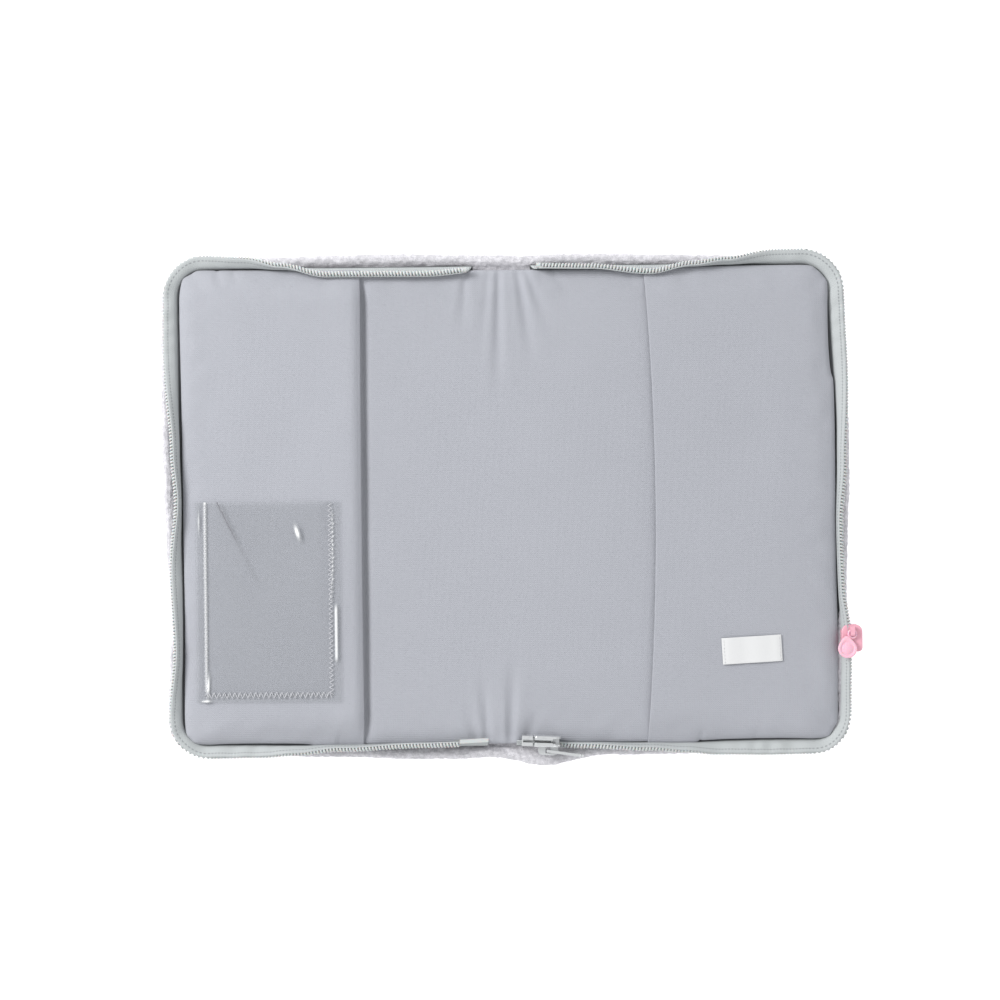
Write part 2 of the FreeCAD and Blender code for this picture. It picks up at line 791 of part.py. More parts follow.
def label_patch():
    turn = Rotation(Vector(0, 0, 1), label_turn.value)
    place = at(label_x.value, label_y.value, flap_top.value, turn)
    patch = part_box("label_plate", label_width, label_height, label_thick, place)
    return keep(patch, "label_patch")


def label_stitches():
    """A row of short straight stitches down each end of the label."""
    count = 6
    end_x = label_width.value / 2 - 0.9
    pitch = label_height.value / count
    bars = []
    for x in (-end_x, end_x):
        for i in range(count):
            low = -label_height.value / 2 + pitch * (i + 0.2)
            bars.append(bar_between(Vector(x, low, 0), Vector(x, low + pitch * 0.6, 0), thread.value * 0.5))
    turn = Rotation(Vector(0, 0, 1), label_turn.value)
    level = (flap_top + label_thick).value + 0.01
    return stitch_group("label_stitches", bars, at(label_x.value, label_y.value, level, turn))


# ---------------------------------------------------------------- assembly


def build_leaves():
    """The right leaf's soft layers and chain, the spine's layers, and the left twins."""
    twins = {
        "left_cover": cover_tray(),
        "left_padding": mitred_slab(
            "right_padding", cover_thick, pad_top, leaf_length, leaf_half, leaf_corner
        ),
        "left_lining": mitred_slab(
            "right_lining", pad_top, lining_top, leaf_length, leaf_half, leaf_corner
        ),
        "left_flap": sleeve_flap(),
        "left_tape": lofted_band(
            "right_tape", zip_stations(chain_end.value, pin_end.value), tape_section
        ),
        "left_coil": lofted_band(
            "right_coil", zip_stations(chain_end.value, pin_root.value + 0.3), coil_section
        ),
        "left_top_stop": top_stop(),
        "left_end_film": end_film(),
    }
    for name, piece in twins.items():
        mirrored(piece, name)
    spine_slab("spine_cover", underside, cover_thick)
    spine_slab("spine_padding", cover_thick, pad_top)
    spine_slab("spine_lining", pad_top, lining_top)


def build_sliders():
    """The parked metal slider on the bottom run and the pink slider on the outer side."""
    metal_frame = run_frame(metal_slider_at.value, -1)
    insertion_pin(metal_frame)
    retainer_box(metal_frame)
    side_x = corner_x.value + seam_radius.value + flat_reach.value + coil_offset
    sideways = Rotation(Vector(0, 0, 1), 90)
    pink_frame = Placement(Vector(side_x, pink_slider_at.value, flat_height.value), sideways)
    height = slider_half_thick + pivot_lift.value
    slider_body("metal", metal_frame)
    metal_crown(metal_frame)
    lock_spring(metal_frame)
    tilt = Rotation(Vector(0, 1, 0), -metal_pull_tilt.value)
    metal_height = height + metal_crown_rise.value
    metal_pull(metal_frame.multiply(at(metal_pivot.value, 0, metal_height, tilt)))
    slider_body("pink", pink_frame)
    pink_crown(pink_frame)
    tilt = Rotation(Vector(0, 1, 0), 180 + pink_pull_tilt.value)
    pink_pull(pink_frame.multiply(at(pink_pivot.value, 0, height, tilt)))


def build_details():
    card_window()
    window_stitches()
    label_patch()
    label_stitches()


def write_parts():
    """Checks every object and writes each sub-part's shape."""
    doc.recompute()
    for thing in doc.Objects:
        if "Invalid" in thing.State or "Error" in thing.State:
            raise RuntimeError(f"{thing.Label} did not compute: {thing.State}")
    os.makedirs("parts", exist_ok=True)
    for piece in sub_parts:
        shape = piece.Shape
        if shape.isNull() or not shape.isValid() or not shape.Solids:
            raise RuntimeError(f"{piece.Label} has no valid solid")
        shape.exportStep(f"parts/{piece.Label}.step")
        print(f"{piece.Label}: {len(shape.Solids)} solids, {shape.Volume:.1f} mm3")


build_leaves()
build_sliders()
build_details()
write_parts()
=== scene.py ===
"""Looks of the padded zip-around folder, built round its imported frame.

Soft layers are puffed, creased and split at the middle of the spine, so that each half bends with
its own fold. The zip is a woven band with a real helix along its edge, on a route that leans in
beside the spine and lies flat round the corners. Shapes are drawn in millimetres in the folder's own
frame and scaled to metres when a piece is finished.
"""

import json
import math
from bisect import bisect_right

import bmesh
import bpy
from mathutils import Matrix, Vector, noise
from mathutils.bvhtree import BVHTree
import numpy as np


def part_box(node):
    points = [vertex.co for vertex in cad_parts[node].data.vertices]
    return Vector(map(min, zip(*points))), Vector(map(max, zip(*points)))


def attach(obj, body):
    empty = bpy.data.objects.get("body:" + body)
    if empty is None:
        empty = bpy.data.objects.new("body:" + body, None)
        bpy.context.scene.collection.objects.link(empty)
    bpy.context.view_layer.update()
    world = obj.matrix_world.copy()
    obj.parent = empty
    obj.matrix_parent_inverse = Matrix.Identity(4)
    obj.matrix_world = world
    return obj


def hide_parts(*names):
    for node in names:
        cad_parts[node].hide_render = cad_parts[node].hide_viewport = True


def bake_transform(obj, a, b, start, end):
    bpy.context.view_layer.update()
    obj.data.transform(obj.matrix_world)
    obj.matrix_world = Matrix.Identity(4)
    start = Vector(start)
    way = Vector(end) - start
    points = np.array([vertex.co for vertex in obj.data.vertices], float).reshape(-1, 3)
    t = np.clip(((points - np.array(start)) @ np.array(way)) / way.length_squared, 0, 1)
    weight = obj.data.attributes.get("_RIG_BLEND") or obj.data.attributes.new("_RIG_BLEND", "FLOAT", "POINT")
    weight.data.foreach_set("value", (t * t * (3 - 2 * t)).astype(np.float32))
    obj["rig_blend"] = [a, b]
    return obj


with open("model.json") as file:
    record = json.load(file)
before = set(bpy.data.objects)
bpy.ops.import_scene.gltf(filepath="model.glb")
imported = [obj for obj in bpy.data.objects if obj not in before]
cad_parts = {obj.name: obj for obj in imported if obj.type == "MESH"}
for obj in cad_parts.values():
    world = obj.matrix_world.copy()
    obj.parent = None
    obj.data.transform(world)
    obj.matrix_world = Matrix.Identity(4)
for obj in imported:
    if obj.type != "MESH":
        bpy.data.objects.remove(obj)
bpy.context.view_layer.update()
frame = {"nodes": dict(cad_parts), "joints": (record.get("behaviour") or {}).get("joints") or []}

MM = 0.001
UP = Vector((0, 0, 1))
touching = 1e-7  # metres; points this near a cutting plane count as on it


# ---- sizes, in millimetres


def cad_box(node):
    low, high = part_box(node)
    return low / MM, high / MM


def joint_place(name):
    return next(j for j in frame["joints"] if j["name"] == name)["pos_m"]


lining = cad_box("right_lining")[1]
rim = cad_box("right_cover")[1]
pin_root = -cad_box("insertion_pin")[0].x
window_low, window_high = cad_box("card_window")
label_low, label_high = cad_box("label_patch")
fold_line = joint_place("right_fold")[0] / MM
fold_height = joint_place("right_fold")[2] / MM
left_free_edge = cad_box("left_flap")[1].x + 0.6
right_free_edge = cad_box("right_flap")[0].x - 0.6
fold_soft = 7.0  # cloth bends over this much on either side of a fold line

pad_left = -lining.x + 0.6
pad_right = lining.x + 4.4
pad_top = lining.y + 3.2
pad_bottom = -lining.y - 2.9
pad_corner = 12.0
pad_base = 1.95
pad_crown = 6.9
seam_height = 5.0

cover_left = -rim.x - 2.2
cover_right = rim.x + 3.6
cover_half = rim.y + 0.3
cover_corner = 21.0

coil_pitch = 1.54
coil_wire = 0.52
coil_width = 2.3
coil_thick = 1.7
coil_gap = 0.1
core_step = 1.2
tape_end = 13.6


def ease(low, high, value):
    """0 below low, 1 above high and a smooth rise between them."""
    share = min(1.0, max(0.0, (value - low) / (high - low)))
    return share * share * (3 - 2 * share)


def bump(value, centre, width):
    return math.exp(-(((value - centre) / width) ** 2))


def eased(table, place):
    """Reads (place, value, value ...) rows smoothly between the two rows around place."""
    before = table[0]
    for row in table:
        if row[0] >= place:
            share = ease(before[0], row[0], place) if row[0] > before[0] else 0.0
            return [a + (b - a) * share for a, b in zip(before[1:], row[1:])]
        before = row
    return list(table[-1][1:])


# ---- mesh helpers


def everything_in(bm):
    return bm.verts[:] + bm.edges[:] + bm.faces[:]


def raise_slab(bm, face, rise):
    """Extrudes a face straight up into a closed slab."""
    grown = bmesh.ops.extrude_face_region(bm, geom=[face])["geom"]
    raised = [v for v in grown if isinstance(v, bmesh.types.BMVert)]
    bmesh.ops.translate(bm, vec=(0, 0, rise), verts=raised)
    bmesh.ops.recalc_face_normals(bm, faces=bm.faces)


def fine_grid(half_wide, half_high, columns, rows):
    bm = bmesh.new()
    bmesh.ops.create_grid(bm, x_segments=columns, y_segments=rows, size=1.0)
    bmesh.ops.scale(bm, vec=(half_wide, half_high, 1), verts=bm.verts)
    return bm


def mesh_from(name, bm):
    mesh = bpy.data.meshes.new(name)
    bm.to_mesh(mesh)
    bm.free()
    return mesh


def finished(name, bm, material, shade_smooth=True):
    """Turns a bmesh drawn in millimetres into an object in metres."""
    bmesh.ops.scale(bm, vec=(MM, MM, MM), verts=bm.verts)
    return object_from(name, mesh_from(name, bm), material, shade_smooth)


def object_from(name, mesh, material, shade_smooth=True):
    piece = bpy.data.objects.new(name, mesh)
    bpy.context.scene.collection.objects.link(piece)
    mesh.materials.clear()
    mesh.materials.append(material)
    mesh.polygons.foreach_set("use_smooth", [shade_smooth] * len(mesh.polygons))
    return piece


def applied(piece):
    """Bakes the piece's modifiers into its mesh."""
    bpy.context.view_layer.update()
    shaped = piece.evaluated_get(bpy.context.evaluated_depsgraph_get())
    mesh = bpy.data.meshes.new_from_object(shaped)
    piece.modifiers.clear()
    old, piece.data = piece.data, mesh
    bpy.data.meshes.remove(old)
    return piece


def subdivided(piece):
    modifier = piece.modifiers.new("smooth", "SUBSURF")
    modifier.levels = modifier.render_levels = 1
    return applied(piece)


def thickened(piece, thickness, offset):
    modifier = piece.modifiers.new("thickness", "SOLIDIFY")
    modifier.thickness = thickness * MM
    modifier.offset = offset
    modifier.use_even_offset = False
    return piece


def rounded(low, high, radius, side_steps=(90, 64), arc_steps=14):
    """Points of a rounded rectangle, anticlockwise, the same number whatever its size."""
    (x0, y0), (x1, y1) = low, high
    corners = [(x1 - radius, y1 - radius), (x0 + radius, y1 - radius)]
    corners += [(x0 + radius, y0 + radius), (x1 - radius, y0 + radius)]
    points = []
    for quarter, (cx, cy) in enumerate(corners):
        for i in range(arc_steps):
            angle = math.pi / 2 * (quarter + i / arc_steps)
            points.append(Vector((cx + radius * math.cos(angle), cy + radius * math.sin(angle), 0)))
        next_x, next_y = corners[(quarter + 1) % 4]
        angle = math.pi / 2 * (quarter + 1)
        edge = Vector((math.cos(angle), math.sin(angle), 0)) * radius
        start, finish = Vector((cx, cy, 0)) + edge, Vector((next_x, next_y, 0)) + edge
        steps = side_steps[quarter % 2]
        points += [start.lerp(finish, i / steps) for i in range(steps)]
    return points


def skin(rows, closed_rows=True):
    """A bmesh grown row by row: the first row of points is extruded through the others."""

    def pairs_along(row):
        return list(zip(row, row[1:])) + ([(row[-1], row[0])] if closed_rows else [])

    bm = bmesh.new()
    row = [bm.verts.new(p) for p in rows[0]]
    edges = [bm.edges.new(pair) for pair in pairs_along(row)]
    used = set()
    for points in rows[1:]:
        bmesh.ops.extrude_edge_only(bm, edges=edges)
        before = set(row)
        grown = {}
        for vertex in row:
            for edge in vertex.link_edges:
                other = edge.other_vert(vertex)
                if other not in before and len(other.link_edges) <= 3 and other not in used:
                    grown[vertex] = other
        used |= before
        row = [grown[vertex] for vertex in row]
        edges = [bm.edges.get(pair) for pair in pairs_along(row)]
        for vertex, point in zip(row, points):
            vertex.co = point
    return bm


def mesh_tube(name, routes, radius, sides, material):
    """Round thread or wire along one or more lists of points, as a closed mesh."""
    curve = bpy.data.curves.new(name, "CURVE")
    curve.dimensions = "3D"
    curve.bevel_depth = radius * MM
    curve.bevel_resolution = (sides - 4) // 2
    curve.use_fill_caps = True
    for points in routes:
        spline = curve.splines.new("POLY")
        spline.points.add(len(points) - 1)
        spline.points.foreach_set("co", [c for p in points for c in (p.x * MM, p.y * MM, p.z * MM, 1)])
    holder = bpy.data.objects.new(name + "_route", curve)
    mesh = bpy.data.meshes.new_from_object(holder)
    bpy.data.objects.remove(holder)
    bpy.data.curves.remove(curve)
    return object_from(name, mesh, material)


def surface_of(piece):
    """A lookup that gives a piece's top height, in millimetres, at a place."""
    graph = bpy.context.evaluated_depsgraph_get()
    tree = BVHTree.FromObject(piece, graph)

    def height(x, y):
        hit = tree.ray_cast(Vector((x, y, 100)) * MM, -UP)[0]
        return hit.z / MM if hit else 0.0

    return height


# ---- material helpers


def place_node(tree, kind, inputs, **settings):
    """Adds a shader node, sets its properties and fills or links its inputs."""
    made = tree.nodes.new("ShaderNode" + kind)
    for key, value in settings.items():
        setattr(made, key, value)
    for key, value in inputs.items():
        if isinstance(value, bpy.types.NodeSocket):
            tree.links.new(value, made.inputs[key])
        else:
            made.inputs[key].default_value = value
    return made


def maths(tree, operation, first, second=0.0, third=0.0):
    inputs = {0: first, 1: second}
    if operation == "MULTIPLY_ADD":
        inputs[2] = third
    return place_node(tree, "Math", inputs, operation=operation).outputs[0]


def times(tree, first, second):
    return maths(tree, "MULTIPLY", first, second)


def ranged(tree, value, *limits):
    """Maps a value from its range onto 0 to 1, or onto a second range."""
    return place_node(tree, "MapRange", dict(enumerate((value, *limits)))).outputs[0]


def clouds(tree, place, scale, detail, roughness=0.5):
    inputs = {"Vector": place, "Scale": scale, "Detail": detail, "Roughness": roughness}
    return place_node(tree, "TexNoise", inputs).outputs["Fac"]


def bands(tree, place, scale, direction):
    inputs = {"Vector": place, "Scale": scale}
    return place_node(tree, "TexWave", inputs, bands_direction=direction).outputs["Fac"]


def new_group(name, outputs, **amounts):
    """An empty node group: a place and some amounts go in and the named values come out."""
    group = bpy.data.node_groups.new(name, "ShaderNodeTree")
    group.interface.new_socket("Vector", in_out="INPUT", socket_type="NodeSocketVector")
    for label, amount in amounts.items():
        socket = group.interface.new_socket(label, in_out="INPUT", socket_type="NodeSocketFloat")
        socket.default_value = amount
    for label in outputs:
        group.interface.new_socket(label, in_out="OUTPUT", socket_type="NodeSocketFloat")
    entry = group.nodes.new("NodeGroupInput")
    leave = group.nodes.new("NodeGroupOutput")
    return group, entry.outputs, leave.inputs


def use_group(tree, group, **inputs):
    return place_node(tree, "Group", inputs, node_tree=group).outputs


def new_material(name, **constants):
    """A Principled material. Constants are set on the shader's own sockets."""
    material = bpy.data.materials.new(name)
    material.use_nodes = True
    tree = material.node_tree
    shader = tree.nodes["Principled BSDF"]
    for key, value in constants.items():
        shader.inputs[key.replace("_", " ")].default_value = value
    place = place_node(tree, "TexCoord", {})
    return material, tree, shader, place.outputs["Object"]


def paint(tree, shader, colour):
    tree.links.new(colour, shader.inputs["Base Color"])


def raise_grain(tree, shader, height, distance, strength):
    """Bumps the surface by a height, over a distance in millimetres."""
    inputs = {"Height": height, "Distance": distance * MM, "Strength": strength}
    tree.links.new(place_node(tree, "Bump", inputs).outputs[0], shader.inputs["Normal"])


def grey(value):
    return (value, value, value, 1.0)


# ---- shared effects


def make_mottle():
    """Slow uneven tone over cloth: a mask from 0 to 1."""
    group, given, result = new_group("mottle", ["Mask"], Patch=60.0, Contrast=1.0)
    centred = maths(group, "SUBTRACT", clouds(group, given["Vector"], given["Patch"], 5.0), 0.5)
    spread = times(group, centred, given["Contrast"])
    group.links.new(maths(group, "ADD", spread, 0.5), result["Mask"])
    return group


def make_knit():
    """Columns of small V-shaped loops: their height, and a heather fleck along the yarn."""
    group, given, result = new_group("knit", ["Height", "Fleck"], Columns=900.0, Rows=1100.0)
    parts = place_node(group, "SeparateXYZ", {0: given["Vector"]}).outputs
    column = maths(group, "FRACT", times(group, parts["X"], given["Columns"]))
    arm = times(group, maths(group, "ABSOLUTE", maths(group, "SUBTRACT", column, 0.5)), 2.0)
    climbed = maths(group, "MULTIPLY_ADD", parts["Y"], given["Rows"], 0.0)
    row = maths(group, "FRACT", maths(group, "MULTIPLY_ADD", arm, 0.7, climbed))
    from_ridge = maths(group, "ABSOLUTE", maths(group, "MULTIPLY_ADD", row, 2.0, -1.0))
    ridge = maths(group, "SUBTRACT", 1.0, from_ridge)
    round_arm = maths(group, "SINE", times(group, arm, math.pi))
    group.links.new(times(group, ridge, maths(group, "ADD", round_arm, 0.35)), result["Height"])
    stretch = place_node(group, "Mapping", {"Vector": given["Vector"], "Scale": (1.0, 2.6, 1.0)})
    fibre = clouds(group, stretch.outputs[0], 1500.0, 3.0)
    group.links.new(ranged(group, fibre, 0.52, 0.74), result["Fleck"])
    return group


def make_pile():
    """Short soft pile: clumps and single tips as a height, and where the tips catch the light."""
    group, given, result = new_group("pile", ["Height", "Tips"], Clumps=420.0)
    clump = clouds(group, given["Vector"], given["Clumps"], 4.0, 0.62)
    fine_scale = times(group, given["Clumps"], 4.5)
    tip = place_node(group, "TexVoronoi", {"Vector": given["Vector"], "Scale": fine_scale})
    tall = maths(group, "SUBTRACT", clump, times(group, tip.outputs["Distance"], 0.3))
    group.links.new(tall, result["Height"])
    group.links.new(ranged(group, tall, 0.22, 0.52), result["Tips"])
    return group


def make_weave():
    """Twilled narrow weave on a strip's own map: U across and V along, both in millimetres."""
    group, given, result = new_group("narrow_weave", ["Height", "Gap"], Pitch=0.5)
    parts = place_node(group, "SeparateXYZ", {0: given["Vector"]}).outputs
    across = maths(group, "DIVIDE", parts["X"], given["Pitch"])
    along = maths(group, "DIVIDE", parts["Y"], given["Pitch"])
    diagonal = maths(group, "ADD", along, maths(group, "PINGPONG", across, 2.0))
    warp = maths(group, "SINE", times(group, diagonal, math.pi))
    weft = maths(group, "SINE", times(group, across, 2 * math.pi))
    height = maths(group, "MULTIPLY_ADD", warp, 0.5, times(group, weft, 0.35))
    group.links.new(height, result["Height"])
    group.links.new(ranged(group, height, -0.7, 0.3, 1.0, 0.0), result["Gap"])
    return group


def make_wear():
    """Fine scuffs and handling marks: a mask from 0 to 1."""
    group, given, result = new_group("wear", ["Mask"], Amount=0.5)
    squeeze = place_node(group, "Mapping", {"Vector": given["Vector"], "Scale": (0.5, 1.0, 2.4)})
    narrow = ranged(group, clouds(group, squeeze.outputs[0], 1400.0, 6.0), 0.55, 0.8)
    group.links.new(times(group, narrow, given["Amount"]), result["Mask"])
    return group


mottle = make_mottle()
knit = make_knit()
pile = make_pile()
narrow_weave = make_weave()
wear = make_wear()


def mixed(tree, mask, first, second):
    blend = place_node(tree, "Mix", {0: mask, 6: first, 7: second}, data_type="RGBA")
    return blend.outputs[2]


def uneven(tree, place, patch, contrast):
    return use_group(tree, mottle, Vector=place, Patch=patch, Contrast=contrast)["Mask"]


def scuffed(tree, place, amount):
    return use_group(tree, wear, Vector=place, Amount=amount)["Mask"]


# ---- materials


def make_jersey():
    """Grey heathered single jersey."""
    constants = dict(Roughness=0.92, Sheen_Weight=0.18, Sheen_Roughness=0.6, Specular_IOR_Level=0.2)
    material, tree, shader, place = new_material("grey_jersey", **constants)
    loops = use_group(tree, knit, Vector=place)
    tone = uneven(tree, place, 35.0, 0.7)
    base = mixed(tree, tone, (0.342, 0.349, 0.382, 1), (0.378, 0.385, 0.420, 1))
    flecked = mixed(tree, times(tree, loops["Fleck"], 0.42), base, (0.19, 0.195, 0.22, 1))
    lit = mixed(tree, times(tree, loops["Height"], 0.22), flecked, (0.50, 0.508, 0.545, 1))
    paint(tree, shader, lit)
    raise_grain(tree, shader, loops["Height"], 0.16, 0.7)
    return material


def make_velour():
    """Off-white velour with a faint pink cast."""
    constants = dict(Roughness=0.95, Sheen_Weight=0.35, Sheen_Roughness=0.5, Specular_IOR_Level=0.15)
    material, tree, shader, place = new_material("blush_velour", **constants)
    fur = use_group(tree, pile, Vector=place)
    tone = uneven(tree, place, 45.0, 1.2)
    base = mixed(tree, tone, (0.45, 0.44, 0.465, 1), (0.53, 0.518, 0.545, 1))
    lit = mixed(tree, fur["Tips"], base, (0.70, 0.685, 0.715, 1))
    paint(tree, shader, lit)
    raise_grain(tree, shader, fur["Height"], 0.7, 0.6)
    return material


def make_tape():
    """Pale grey-green woven zip tape with a stitch line beside the coil, painted shade in its weave and a
    painted shadow where it runs in under the seam.
    """
    material, tree, shader, place = new_material("zip_tape", Roughness=0.7, Specular_IOR_Level=0.35)
    strip = place_node(tree, "UVMap", {}, uv_map="strip").outputs[0]
    cloth = use_group(tree, narrow_weave, Vector=strip)
    tone = uneven(tree, place, 70.0, 0.9)
    base = mixed(tree, tone, (0.44, 0.462, 0.462, 1), (0.51, 0.53, 0.535, 1))
    # Painted shade: the low places between the woven yarns are darkened.
    weave_gap_shaded = mixed(tree, times(tree, cloth["Gap"], 0.35), base, (0.30, 0.32, 0.32, 1))
    parts = place_node(tree, "SeparateXYZ", {0: strip}).outputs
    offset = maths(tree, "ABSOLUTE", maths(tree, "SUBTRACT", parts["X"], 1.9))
    on_line = ranged(tree, offset, 0.18, 0.32, 1.0, 0.0)
    beat = maths(tree, "SINE", times(tree, parts["Y"], 2 * math.pi / coil_pitch))
    stitch = times(tree, on_line, ranged(tree, beat, -0.4, 0.2))
    sewn = mixed(tree, times(tree, stitch, 0.75), weave_gap_shaded, (0.20, 0.21, 0.22, 1))
    # Painted shadow: the strip of tape at and inside the seam line is darkened nearly to black, for the
    # shade between the pad's edge and the tape.
    painted_seam_shadow = ranged(tree, parts["X"], 6.15, 6.95)
    shaded = mixed(tree, times(tree, painted_seam_shadow, 0.9), sewn, (0.045, 0.047, 0.052, 1))
    paint(tree, shader, shaded)
    height = maths(tree, "SUBTRACT", cloth["Height"], stitch)
    raise_grain(tree, shader, height, 0.12, 0.8)
    return material


def make_nylon():
    """Milky nylon coil."""
    constants = dict(Roughness=0.42, Specular_IOR_Level=0.5, Subsurface_Weight=0.15, Subsurface_Scale=0.0008)
    material, tree, shader, place = new_material("nylon_coil", **constants)
    marks = scuffed(tree, place, 0.6)
    tint = mixed(tree, marks, (0.50, 0.52, 0.515, 1), (0.38, 0.40, 0.395, 1))
    paint(tree, shader, tint)
    raise_grain(tree, shader, marks, 0.03, 0.5)
    return material


def make_end_film():
    """Cloudy film that stiffens a tape's end, with fine handling marks."""
    constants = dict(Specular_IOR_Level=0.9, Coat_Weight=0.6, Coat_Roughness=0.04)
    material, tree, shader, place = new_material("end_film", **constants)
    marks = scuffed(tree, place, 0.5)
    haze = uneven(tree, place, 28.0, 1.0)
    paint(tree, shader, mixed(tree, marks, (0.62, 0.65, 0.60, 1), (0.75, 0.76, 0.76, 1)))
    tree.links.new(ranged(tree, haze, 0.0, 1.0, 0.25, 0.45), shader.inputs["Roughness"])
    tree.links.new(maths(tree, "MULTIPLY_ADD", marks, 0.08, 0.55), shader.inputs["Alpha"])
    raise_grain(tree, shader, haze, 0.25, 0.4)
    return material


def make_window_film():
    """Clear film that shines, with painted white highlights where it is bent or pulled by its stitches and a
    painted dark shade along its pressed crease.
    """
    constants = dict(Specular_IOR_Level=0.6, Coat_Weight=0.3, Coat_Roughness=0.05, Roughness=0.14)
    material, tree, shader, place = new_material("clear_film", **constants)
    marks = scuffed(tree, place, 0.5)
    haze = uneven(tree, place, 28.0, 1.0)
    painted_glint, fold = (
        place_node(tree, "Attribute", {}, attribute_name=name).outputs["Fac"] for name in ("painted_glint", "fold")
    )
    tint = mixed(tree, marks, (0.31, 0.325, 0.345, 1), (0.50, 0.51, 0.52, 1))
    # Painted shade: the film is darkened and made less clear along its pressed crease.
    dark = mixed(tree, fold, tint, (0.16, 0.15, 0.17, 1))
    # Painted highlights: the film turns near white along its glint lines.
    paint(tree, shader, mixed(tree, painted_glint, dark, grey(0.92)))
    seen = maths(tree, "MULTIPLY_ADD", marks, 0.06, 0.12)
    seen = maths(tree, "MULTIPLY_ADD", fold, 0.4, seen)
    # Painted highlights: the film is made nearly opaque where its glints are painted, so the white shows.
    tree.links.new(maths(tree, "MULTIPLY_ADD", painted_glint, 0.85, seen), shader.inputs["Alpha"])
    raise_grain(tree, shader, haze, 0.1, 0.25)
    return material


def make_thread(name, colour):
    """Twisted sewing thread."""
    material, tree, shader, place = new_material(name, Roughness=0.55, Specular_IOR_Level=0.4)
    twist = bands(tree, place, 900.0, "DIAGONAL")
    dark = tuple(c * 0.55 for c in colour[:3]) + (1,)
    shade = times(tree, twist, 0.4)
    paint(tree, shader, mixed(tree, shade, colour, dark))
    raise_grain(tree, shader, twist, 0.05, 0.6)
    return material


def make_satin():
    """White satin-woven label."""
    constants = dict(Roughness=0.45, Specular_IOR_Level=0.5, Sheen_Weight=0.1)
    material, tree, shader, place = new_material("label_satin", **constants)
    rib = bands(tree, place, 1100.0, "Y")
    height = maths(tree, "MULTIPLY_ADD", bands(tree, place, 700.0, "X"), 0.4, rib)
    shade = times(tree, rib, 0.18)
    paint(tree, shader, mixed(tree, shade, grey(0.67), grey(0.45)))
    raise_grain(tree, shader, height, 0.05, 0.6)
    return material


def make_enamel(name, colour, worn, metallic, roughness):
    """Lacquered metal with small scuffs that dull it."""
    constants = dict(Metallic=metallic, Coat_Weight=0.5, Coat_Roughness=0.12)
    material, tree, shader, place = new_material(name, **constants)
    marks = scuffed(tree, place, 0.8)
    paint(tree, shader, mixed(tree, marks, colour, worn))
    rough = ranged(tree, marks, 0.0, 1.0, roughness, roughness + 0.25)
    tree.links.new(rough, shader.inputs["Roughness"])
    raise_grain(tree, shader, marks, 0.02, 0.4)
    return material


def make_soft_pink():
    """Soft-touch pink plastic with a fine moulded grain."""
    constants = dict(Roughness=0.5, Subsurface_Weight=0.25, Subsurface_Scale=0.0015)
    material, tree, shader, place = new_material("pink_soft_touch", **constants)
    grain = clouds(tree, place, 3200.0, 4.0)
    tone = uneven(tree, place, 260.0, 0.9)
    colour = mixed(tree, tone, (0.78, 0.42, 0.52, 1), (0.82, 0.49, 0.59, 1))
    paint(tree, shader, colour)
    raise_grain(tree, shader, grain, 0.03, 0.6)
    return material


def make_floor_finish():
    material, tree, shader, place = new_material("pale_floor", Roughness=0.8, Specular_IOR_Level=0.1)
    tone = uneven(tree, place, 2.0, 0.5)
    paint(tree, shader, mixed(tree, tone, grey(0.93), grey(0.95)))
    shader.inputs["Emission Color"].default_value = grey(1.0)
    shader.inputs["Emission Strength"].default_value = 0.45
    return material


jersey = make_jersey()
velour = make_velour()
tape_cloth = make_tape()
nylon = make_nylon()
window_film = make_window_film()
end_film = make_end_film()
window_thread = make_thread("grey_thread", (0.60, 0.60, 0.63, 1))
core_cord = make_thread("core_cord", (0.44, 0.455, 0.455, 1))
label_thread = make_thread("white_thread", (0.74, 0.74, 0.75, 1))
label_satin = make_satin()
white_enamel = make_enamel("white_enamel", (0.60, 0.61, 0.615, 1), (0.36, 0.37, 0.38, 1), 0.5, 0.18)
pink_enamel = make_enamel("pink_enamel", (0.74, 0.36, 0.44, 1), (0.60, 0.27, 0.34, 1), 0.0, 0.35)
spring_steel = make_enamel("spring_steel", (0.60, 0.61, 0.63, 1), (0.40, 0.41, 0.43, 1), 1.0, 0.3)
soft_pink = make_soft_pink()


# ---- camera and studio


def make_studio():
    camera = bpy.data.objects.new("camera", bpy.data.cameras.new("camera"))
    camera.data.lens = 100.0
    camera.data.sensor_width = 36.0
    seen_width = 0.476
    subject_height = 0.008
    distance = seen_width * camera.data.lens / camera.data.sensor_width
    camera.location = (-0.0017, 0.0029, subject_height + distance)
    camera.rotation_euler = (0, 0, math.radians(-0.6))
    camera.data.clip_start = 0.05
    bpy.context.scene.collection.objects.link(camera)
    bpy.context.scene.camera = camera

    world = bpy.data.worlds.new("soft_room")
    world.use_nodes = True
    background = world.node_tree.nodes["Background"]
    background.inputs["Color"].default_value = (0.97, 0.985, 1.0, 1)
    background.inputs["Strength"].default_value = 0.78
    bpy.context.scene.world = world

    for name, place, size, power in (
        ("window_light", (-1.35, 0.75, 1.15), 0.75, 34.0),
        ("fill_light", (0.9, -1.2, 1.8), 1.6, 9.0),
    ):
        lamp = bpy.data.lights.new(name, "AREA")
        lamp.size = size
        lamp.energy = power
        holder = bpy.data.objects.new(name, lamp)
        holder.location = place
        holder.rotation_euler = (-Vector(place)).to_track_quat("-Z", "Y").to_euler()
        bpy.context.scene.collection.objects.link(holder)

    bpy.context.scene.view_settings.view_transform = "Standard"

    bm = bmesh.new()
    bmesh.ops.create_grid(bm, x_segments=4, y_segments=4, size=3000)
    floor = finished("floor", bm, make_floor_finish(), shade_smooth=False)


# ---- soft leaves


